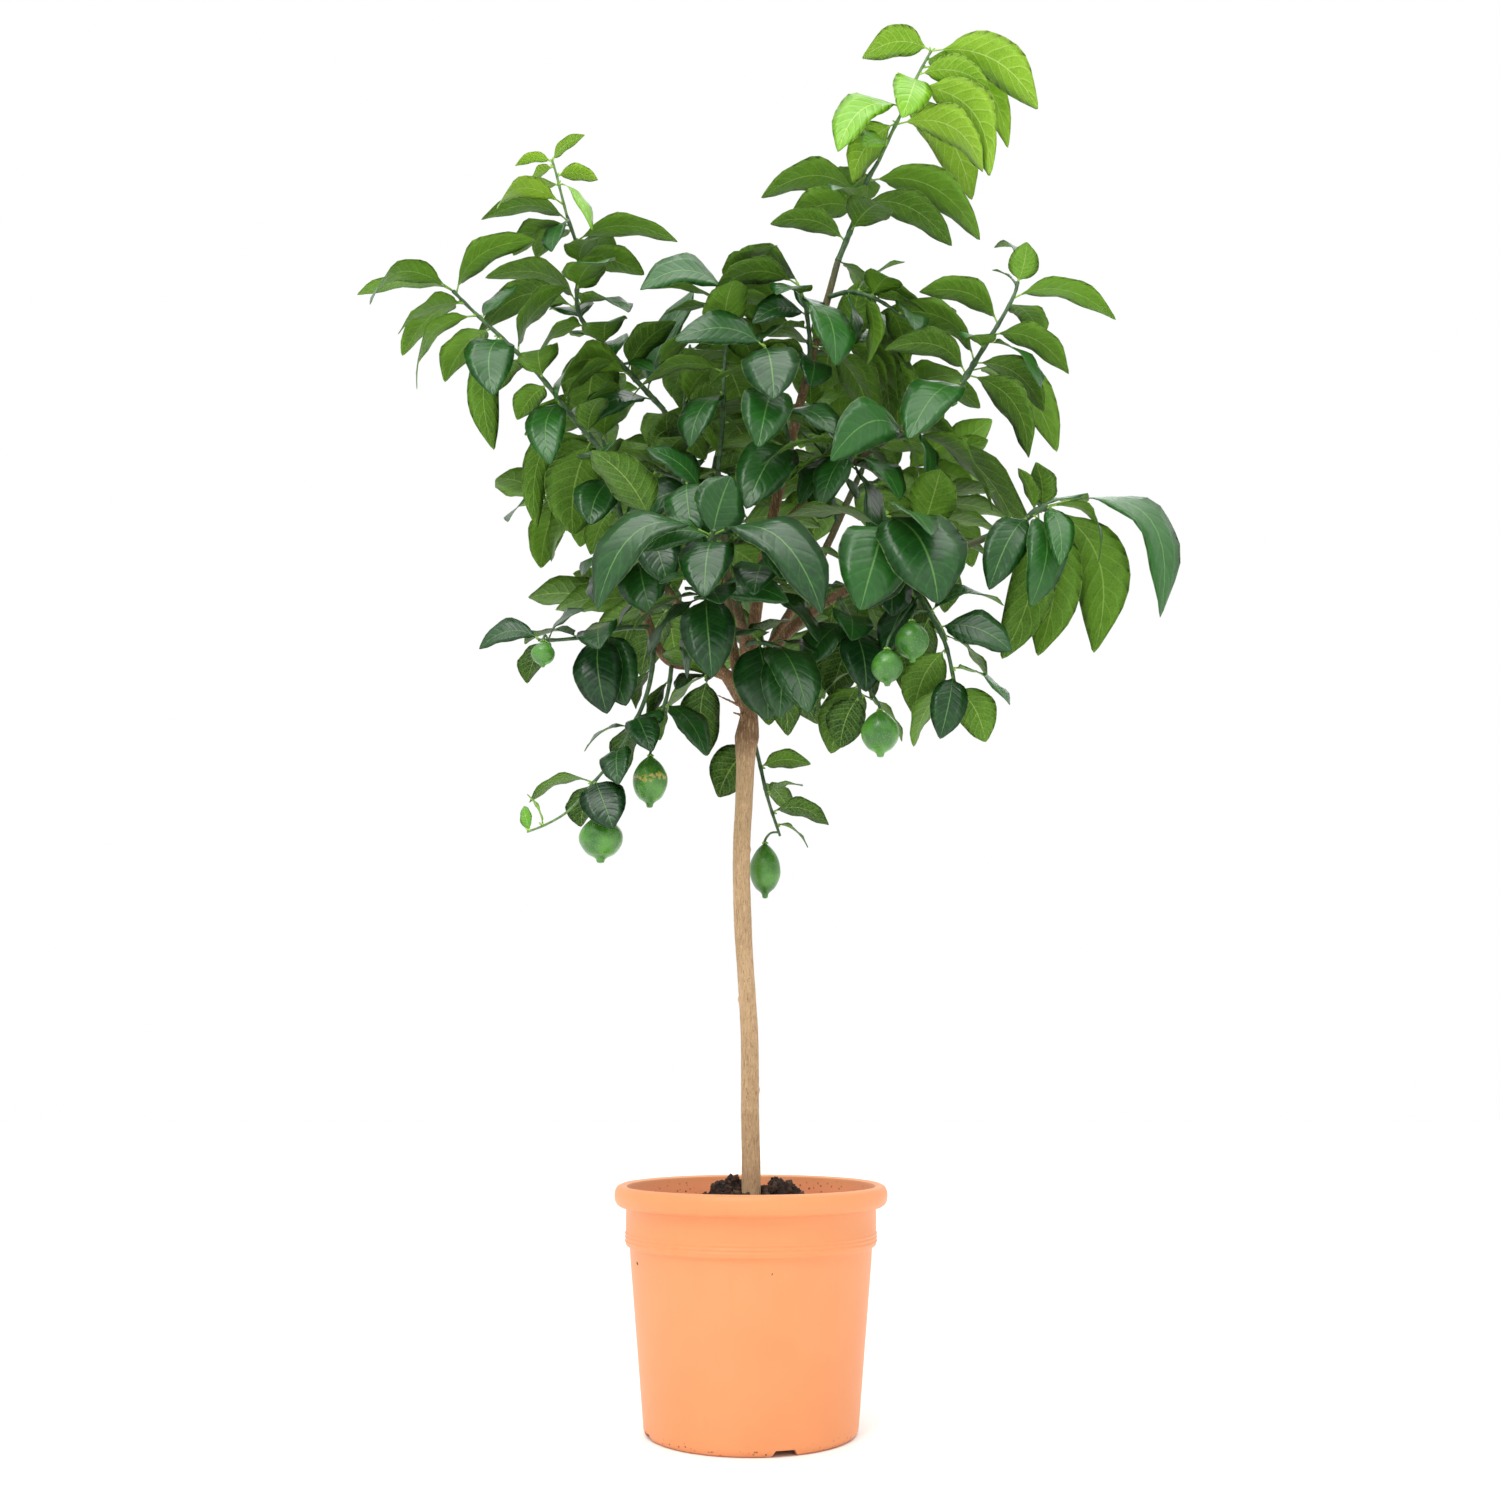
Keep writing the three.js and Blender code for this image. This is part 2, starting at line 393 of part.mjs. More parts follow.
// Spine and side of one leaf: a Bézier arch from its base to its tip, with its top face up and turned
// towards the front by the given angle.
function leafShape(base, tip, width, rise, turn) {
  const chord = tip.clone().sub(base);
  const length = chord.length();
  chord.divideScalar(length);
  const lift = UP.clone().add(new THREE.Vector3(base.x, base.y, 0).normalize().multiplyScalar(BLADE.outward));
  lift.addScaledVector(chord, -lift.dot(chord)).normalize();
  const middle = mix(base, tip, BLADE.bend).addScaledVector(lift, 2 * rise * length);
  const side = chord.clone().cross(lift);
  side.applyAxisAngle(chord, THREE.MathUtils.degToRad(turn) * (chord.x < 0 ? -1 : 1));
  return { base, middle, tip, side, length, width };
}

function spineAt({ base, middle, tip }, s) {
  const point = mix(mix(base, middle, s), mix(middle, tip, s), s);
  const heading = middle.clone().sub(base).multiplyScalar(1 - s)
    .addScaledVector(tip.clone().sub(middle), s).normalize();
  return { point, heading };
}

// Half the width of the blade at t from its foot to its tip.
function halfWidth(width, t) {
  return (width / 2) * Math.pow(Math.sin(Math.PI * Math.pow(t, 0.9)), 0.8);
}

function bladePoint(leaf, t, side, lift = 0) {
  const s = BLADE.petiole + (1 - BLADE.petiole) * t;
  const { point, heading } = spineAt(leaf, s);
  const normal = leaf.side.clone().cross(heading).normalize();
  const half = halfWidth(leaf.width, t) * side;
  return point.addScaledVector(leaf.side, half).addScaledVector(normal, Math.abs(half) * BLADE.fold + lift);
}

function leafSolid(leaf) {
  const { point, heading } = spineAt(leaf, BLADE.petiole);
  const normal = leaf.side.clone().cross(heading).normalize();
  const [left, right] = [-BLADE.stalk, BLADE.stalk].map((offset) =>
    point.clone().addScaledVector(leaf.side, offset).addScaledVector(normal, BLADE.stalk * 0.6));
  const below = point.clone().addScaledVector(normal, -BLADE.stalk);
  const root = leaf.base.clone().addScaledVector(spineAt(leaf, 0).heading, -BLADE.rootDepth);
  const rings = [[root, root, root, root], [left, left, right, below]];
  BLADE.stations.forEach((t) => rings.push([
    bladePoint(leaf, t, -1), bladePoint(leaf, t, 0, BLADE.rib), bladePoint(leaf, t, 1),
    bladePoint(leaf, t, 0, -BLADE.rib),
  ]));
  rings.push([leaf.tip, leaf.tip, leaf.tip, leaf.tip]);
  return solid(loft(rings));
}

// Points spread over a blade, close enough that nothing passes between them. Its foot is left out, where
// leaves of one shoot stand close.
function bladePoints(leaf) {
  const points = [];
  const rows = Math.ceil(leaf.length / CLEAR.step);
  for (let i = 0; i <= rows; i++) {
    const t = i / rows;
    const columns = Math.ceil(halfWidth(leaf.width, t) / CLEAR.step);
    for (let k = -columns; k <= columns; k++) points.push(bladePoint(leaf, t, columns ? k / columns : 0));
  }
  return points.filter((point) => point.distanceTo(leaf.base) >= CLEAR.nearBase);
}

// What is already there, in a grid of cells, so that each new leaf can be bent clear of it.
class Occupied {
  cells = new Map();

  key(x, y, z) {
    return `${x},${y},${z}`;
  }

  add(point, radius) {
    const key = this.key(...point.toArray().map((value) => Math.floor(value / CLEAR.cell)));
    if (!this.cells.has(key)) this.cells.set(key, []);
    this.cells.get(key).push({ point, radius });
  }

  addLine(points, radius) {
    for (let i = 0; i < points.length - 1; i++) {
      const steps = Math.ceil(points[i].distanceTo(points[i + 1]) / CLEAR.step);
      for (let k = 0; k <= steps; k++) this.add(mix(points[i], points[i + 1], k / steps), radius);
    }
  }

  touches(point) {
    const [x, y, z] = point.toArray().map((value) => Math.floor(value / CLEAR.cell));
    for (let i = x - 1; i <= x + 1; i++) {
      for (let j = y - 1; j <= y + 1; j++) {
        for (let k = z - 1; k <= z + 1; k++) {
          const near = this.cells.get(this.key(i, j, k)) ?? [];
          if (near.some((other) => other.point.distanceTo(point) < CLEAR.reach + other.radius)) return true;
        }
      }
    }
    return false;
  }

  isFree(leaf) {
    return !bladePoints(leaf).some((point) => this.touches(point));
  }

  addLeaf(leaf) {
    bladePoints(leaf).forEach((point) => this.add(point, 0));
  }
}

// Depths that a leaf read from the front view may move by, which leave its place in that view alone.
const DEPTH_TRIES = [0, -14, 14, -28, 28, -42, 42, -56, 56, -70, 70];

function readLeaf(stem, row, occupied) {
  const [baseU, baseV, tipU, tipV, away, width, rise, turn] = row;
  const middleDepth = stem.reduce((sum, point) => sum + point.y, 0) / stem.length;
  const base = nearestOn(stem, place([baseU, baseV, middleDepth]));
  for (const move of DEPTH_TRIES) {
    const leaf = leafShape(base, place([tipU, tipV, base.y + away + move]), width, rise, turn);
    if (occupied.isFree(leaf)) return leaf;
  }
  return null;
}

// One leaf of the rule: round the stem by the golden angle, outwards and drooping. A leaf that finds no
// room turns and droops further at each try.
function ruleLeaf(stem, number, count, size, random, occupied) {
  const fraction = RULE.bare + ((1 - RULE.bare) * (number + 0.5)) / count;
  const { point, heading } = along(stem, fraction);
  const across = heading.clone().cross(UP).normalize();
  const second = heading.clone().cross(across);
  const length = size * (RULE.shortest + RULE.longer * random());
  const wide = RULE.narrow + RULE.wider * random();
  const start = number * GOLDEN_ANGLE + random();
  for (let attempt = 0; attempt < RULE.tries; attempt++) {
    const angle = start + attempt * RULE.turn;
    const direction = heading.clone().multiplyScalar(RULE.forward)
      .addScaledVector(across, Math.cos(angle)).addScaledVector(second, Math.sin(angle));
    direction.z -= RULE.droop + RULE.moreDroop * attempt;
    const tip = point.clone().addScaledVector(direction.normalize(), length * (1 - RULE.shrink * attempt));
    const leaf = leafShape(point, tip, length * wide, RULE.rise, 0);
    if (occupied.isFree(leaf)) return leaf;
  }
  return null;
}

// ---------------------------------------------------------------- pot and soil

function toUpright(geometry) {
  return geometry.rotateX(Math.PI / 2);
}

function potProfile() {
  const p = POT;
  const inner = p.collarHigh - p.wall;
  const beadCentre = (p.height + p.collarHigh) / 2;
  const beadHeight = (p.height - p.collarHigh) / 2;
  const bead = [-0.95, -0.35, 0.35, 0.85, 1].map((rise) => [
    p.rim - 5.5 * (1 - Math.sqrt(1 - rise * rise)), beadCentre + beadHeight * rise]);
  return [
    [0, 0], [p.centreFoot, 0], [p.centreFoot + 1.5, p.footHeight], [p.footInner - 1.5, p.footHeight],
    [p.footInner, 0], [p.foot, 0], [p.foot + 3.4, 2], [p.bodyLow, 7], [p.bodyHigh, p.bodyTop],
    [p.bodyHigh + 0.9, p.collarLow - 4], [p.collar - 1, p.collarLow - 1.5], [p.collar, p.collarLow + 1],
    [p.collar, p.collarHigh], ...bead, [p.collar - 1.2, p.height - 2.5], [p.collar - p.wall - 0.2, inner - 4],
    [p.bodyHigh - p.wall, p.bodyTop + 4], [p.bodyLow - p.wall, p.footHeight + p.floor + 4],
    [p.footInner, p.footHeight + p.floor], [0, p.footHeight + p.floor],
  ];
}

function potSolid() {
  const points = potProfile().map(([radius, z]) => new THREE.Vector2(radius, z));
  let pot = solid(toUpright(new THREE.LatheGeometry(points, POT.segments)));
  const outline = new THREE.Shape([
    new THREE.Vector2(-NOTCH.wide / 2, -1), new THREE.Vector2(NOTCH.wide / 2, -1),
    new THREE.Vector2(NOTCH.narrow / 2, NOTCH.height), new THREE.Vector2(-NOTCH.narrow / 2, NOTCH.height)]);
  for (let i = 0; i < NOTCH.count; i++) {
    const cut = toUpright(new THREE.ExtrudeGeometry(outline, { depth: 24, bevelEnabled: false }));
    cut.translate(0, -POT.foot + 16, 0);
    cut.rotateZ(THREE.MathUtils.degToRad(NOTCH.first) + (i * Math.PI * 2) / NOTCH.count);
    pot = pot.subtract(solid(cut));
  }
  for (let i = 0; i < DRAIN.count; i++) {
    const angle = THREE.MathUtils.degToRad(NOTCH.first - 90) + ((i + 0.5) * Math.PI * 2) / DRAIN.count;
    const cut = toUpright(new THREE.CylinderGeometry(DRAIN.radius, DRAIN.radius, 20, 8));
    cut.translate(Math.cos(angle) * DRAIN.ring, Math.sin(angle) * DRAIN.ring, POT.footHeight);
    pot = pot.subtract(solid(cut));
  }
  return pot;
}

function soilTop(x, y) {
  const radius = Math.hypot(x, y);
  const mound = SOIL.low + SOIL.rise * Math.exp(-((radius / SOIL.spread) ** 2));
  const rough = SOIL.roughness * Math.sin(x * 0.11 + 1) * Math.cos(y * 0.13 + x * 0.05);
  return LUMPS.reduce((z, [lumpX, lumpY, height, spread]) =>
    z + height * Math.exp(-(((x - lumpX) ** 2 + (y - lumpY) ** 2) / spread ** 2)), mound + rough);
}

function soilSolid() {
  const bottom = POT.footHeight + POT.floor + GAP;
  const wallAt = (z) => POT.bodyLow + ((POT.bodyHigh - POT.bodyLow) * (z - 7)) / (POT.bodyTop - 7);
  const inset = POT.wall + 1.9;
  const hole = TRUNK_PATH[0][3] + GAP + 0.2;
  const topRings = [hole, 17, 26, 37, 50, 68, 88, wallAt(POT.bodyTop) - inset + 2.6];
  const profile = [
    [0, TRUNK.socket - GAP], [hole, TRUNK.socket - GAP], ...topRings.map((radius) => [radius, SOIL.low]),
    [wallAt(POT.bodyTop) - inset, POT.bodyTop - 4], [wallAt(20) - inset, 20], [POT.footInner - 1.5, bottom],
    [0, bottom]];
  const points = profile.map(([radius, z]) => new THREE.Vector2(radius, z));
  const geometry = toUpright(new THREE.LatheGeometry(points, SOIL.segments));
  const position = geometry.attributes.position;
  for (let i = 0; i < position.count; i++) {
    if (Math.abs(position.getZ(i) - SOIL.low) < 0.01) {
      position.setZ(i, soilTop(position.getX(i), position.getY(i)));
    }
  }
  return solid(geometry);
}

// ---------------------------------------------------------------- trunk, shoots and fruit

function wood(extra) {
  const trunk = TRUNK_PATH.map((row) => place(row));
  trunk.unshift(new THREE.Vector3(trunk[0].x, trunk[0].y, TRUNK.socket - extra));
  const radii = TRUNK_PATH.map((row) => row[3]);
  radii.unshift(radii[0]);
  const limbs = Object.values(LIMBS).map((rows) =>
    taperedTube(rows.map((row) => place(row)), rows.map((row) => row[3]), LIMB_SIDES, extra));
  return fuse([taperedTube(trunk, radii, TRUNK.sides, extra), ...limbs]);
}

function lemonSolid({ at, half }) {
  const points = LEMON_OUTLINE.map(([x, z]) => new THREE.Vector2(x * half[0], z * half[1])).reverse();
  const lemon = toUpright(new THREE.LatheGeometry(points, LEMON_SEGMENTS));
  return solid(lemon.translate(...place(at).toArray()));
}

// The stalk bends down from the shoot and ends in a button just above the fruit.
function stalkSolid(shoot, { from, at, half }) {
  const start = nearestOn(shoot.points, place(from));
  const end = place(at).addScaledVector(UP, half[1] * LEMON_OUTLINE[0][1] + GAP);
  const neck = end.clone().addScaledVector(UP, 2);
  const bend = mix(start, neck, 0.6).addScaledVector(UP, STALK.bend);
  const radii = [STALK.radius, STALK.radius, STALK.radius, STALK.button];
  return taperedTube([start, bend, neck, end], radii, STEM_SIDES);
}

function backShoot([name, start, end, rule]) {
  const [from, to] = [place(start), place(end)];
  const middle = mix(from, to, 0.5).addScaledVector(UP, BACK.bow * from.distanceTo(to));
  return { name, points: [from, middle, to], radii: BACK.radii, rule, size: BACK.size, leaves: [] };
}

function growLeaves(shoots, occupied) {
  const random = seeded(RULE.seed);
  shoots.forEach((shoot) => {
    shoot.grown = shoot.leaves.map((row) => {
      const leaf = readLeaf(shoot.points, row, occupied);
      if (leaf) occupied.addLeaf(leaf);
      return leaf;
    });
  });
  shoots.forEach((shoot) => {
    for (let i = 0; i < shoot.rule; i++) {
      const leaf = ruleLeaf(shoot.points, i, shoot.rule, shoot.size, random, occupied);
      if (leaf) occupied.addLeaf(leaf);
      shoot.grown.push(leaf);
    }
    shoot.grown = shoot.grown.filter(Boolean);
  });
}

function shootSolid(shoot, bark) {
  const last = shoot.points.length - 1;
  const radii = shoot.points.map((_, i) => shoot.radii[0] + ((shoot.radii[1] - shoot.radii[0]) * i) / last);
  const stem = taperedTube(shoot.points, radii, STEM_SIDES);
  const stalks = LEMONS.filter((lemon) => lemon.on === shoot.name).map((lemon) => stalkSolid(shoot, lemon));
  return mainBody(fuse([stem, ...stalks, ...shoot.grown.map(leafSolid)]).subtract(bark));
}

function fillOccupied(shoots, occupied) {
  Object.values(LIMBS).forEach((rows) => occupied.addLine(rows.map((row) => place(row)), CLEAR.limb));
  occupied.addLine(TRUNK_PATH.map((row) => place(row)), CLEAR.trunk);
  shoots.forEach(({ points }) => occupied.addLine(points, CLEAR.stem));
  LEMONS.forEach(({ at, half }) => {
    const centre = place(at);
    [-0.5, 0, 0.5].forEach((rise) => {
      occupied.add(centre.clone().addScaledVector(UP, rise * half[1]), half[0] * CLEAR.lemonShare);
    });
  });
}

function tree() {
  const group = new THREE.Group();
  const shoots = [
    ...SHOOTS.map((shoot) => ({ ...shoot, points: shoot.stem.map((row) => place(row)) })),
    ...BACK_SHOOTS.map(backShoot),
  ];
  const occupied = new Occupied();
  fillOccupied(shoots, occupied);
  growLeaves(shoots, occupied);
  group.add(meshOf('trunk', wood(0), COLOURS.bark));
  const bark = wood(GAP);
  shoots.forEach((shoot) => {
    group.add(meshOf(shoot.name, shootSolid(shoot, bark), shoot.young ? COLOURS.young : COLOURS.leaf));
  });
  LEMONS.forEach((lemon) => group.add(meshOf(lemon.name, lemonSolid(lemon), COLOURS.lemon)));
  return group;
}

const model = new THREE.Group();
model.add(meshOf('pot', potSolid(), COLOURS.pot));
model.add(meshOf('soil', soilSolid(), COLOURS.soil));
model.add(tree());

export default model;
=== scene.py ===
"""Potted lemon tree: the finished looks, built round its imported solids.

Everything stands in the frame of the solids: metres, +Z up, the origin on the floor under the middle of the
pot. Branches, leaves and fruit are planned in mm, by the same places in the front view and the same rules as the
solids, so that each piece stands where its solid stood.
"""
from __future__ import annotations

import logging
import math
from dataclasses import dataclass, field, replace
from enum import Enum, IntEnum
from functools import cache
from typing import Any, Iterator, Sequence

import bpy
import numpy as np
from bpy.types import Material, Mesh, Node, NodeSocket, NodeTree, Object
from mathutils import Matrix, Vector, noise

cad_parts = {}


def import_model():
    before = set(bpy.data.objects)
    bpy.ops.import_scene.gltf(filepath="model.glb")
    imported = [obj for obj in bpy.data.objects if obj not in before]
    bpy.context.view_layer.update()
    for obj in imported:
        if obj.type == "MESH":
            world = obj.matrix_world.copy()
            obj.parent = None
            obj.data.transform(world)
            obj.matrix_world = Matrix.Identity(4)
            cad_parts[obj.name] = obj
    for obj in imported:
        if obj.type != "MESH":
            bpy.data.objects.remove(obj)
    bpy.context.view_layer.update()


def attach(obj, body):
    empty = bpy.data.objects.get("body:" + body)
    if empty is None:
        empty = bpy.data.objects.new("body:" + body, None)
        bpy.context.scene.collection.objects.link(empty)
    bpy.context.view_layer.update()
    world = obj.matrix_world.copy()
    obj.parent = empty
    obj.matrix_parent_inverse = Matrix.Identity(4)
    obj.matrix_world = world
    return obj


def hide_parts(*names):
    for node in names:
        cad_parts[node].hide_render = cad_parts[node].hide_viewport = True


LOG = logging.getLogger("lemon_tree")
MM = 0.001  # one millimetre in metres
BODY = "root"
UP = np.array((0.0, 0.0, 1.0))

Row = tuple[float, ...]
Point = np.ndarray  # a place or a direction
Points = np.ndarray  # one place a row
Numbers = np.ndarray  # one number a row
Path = tuple[Points, Numbers]  # its places, and a radius at each
Faces = Sequence[Sequence[int]]
Shell = tuple[Points, Faces]


# ---- the plan of the tree

@dataclass(frozen=True)
class ShootPlan:
    """One leafy shoot, as read from the front view.

    radii: its stem's at both ends. rule, size: how many leaves the rule adds, and how long. leaves: those read one
    by one, as (base u, base v, tip u, tip v, tip depth less base depth, width, rise, turn to the front).
    """

    name: str
    radii: Row
    rule: int
    size: float
    stem: tuple[Row, ...]
    leaves: tuple[Row, ...] = ()
    young: bool = False


@dataclass(frozen=True)
class LemonPlan:
    """One fruit: the shoot that it hangs on, where its stalk starts, its centre, and its half width and height."""

    name: str
    on: str
    stalk_from: Row
    at: Row
    half: Row
    scar: bool = False


# Places in the front view are (u, v, depth in mm behind the trunk), with a radius in mm for wood.
TRUNK_PATH: tuple[Row, ...] = (
    (751, 1168, 0, 8.8), (750, 1110, 0, 8.5), (750, 1060, 0, 8.4), (749, 1024, 0, 8.3), (746, 976, 0, 8.1),
    (742.5, 916, 0, 8.5), (741.5, 850, 0, 8.3), (744, 800, 0, 8.6), (745.5, 765, 0, 9), (746, 748, 0, 10.6),
    (747, 736, 0, 11.9), (748.5, 724, 0, 10.2), (748.5, 711, 0, 8.3), (742, 694, 0, 7.6))

LIMBS = (
    ((748, 708, 0, 7), (729, 677, -6, 6.6), (700, 667, -14, 5.6), (668, 660, -18, 5), (643, 606, -10, 4.4),
     (630, 560, -6, 4), (623, 528, -5, 3.6)),
    ((744, 700, 0, 6.5), (733, 650, 22, 5.6), (722, 580, 50, 4.8), (700, 500, 72, 4), (664, 410, 60, 3.2)),
    ((733, 648, 23, 4.6), (726, 560, -6, 3.8), (718, 470, -30, 3)),
    ((746, 706, 0, 7.4), (752, 640, 15, 6.6), (768, 540, 30, 5.8), (796, 420, 35, 5), (822, 320, 26, 4.2),
     (838, 261, 20, 3.6)),
    ((768, 540, 30, 4.8), (830, 480, 10, 4.3), (900, 430, -10, 3.7), (959, 388, -20, 3.2)),
    ((747, 706, 0, 7), (772, 650, -30, 6), (820, 606, -50, 5), (880, 575, -70, 4.4), (950, 552, -74, 3.8),
     (1023, 522, -70, 3)),
    ((746, 704, 0, 6), (744, 640, -55, 5), (732, 588, -110, 4.2), (716, 548, -150, 3.2)),
    ((747, 704, 0, 6.4), (775, 640, 70, 5.5), (820, 560, 140, 4.5), (862, 470, 190, 3.4)),
    ((742, 702, 0, 6), (706, 645, 80, 5), (662, 580, 150, 4.2), (622, 500, 200, 3.2)))

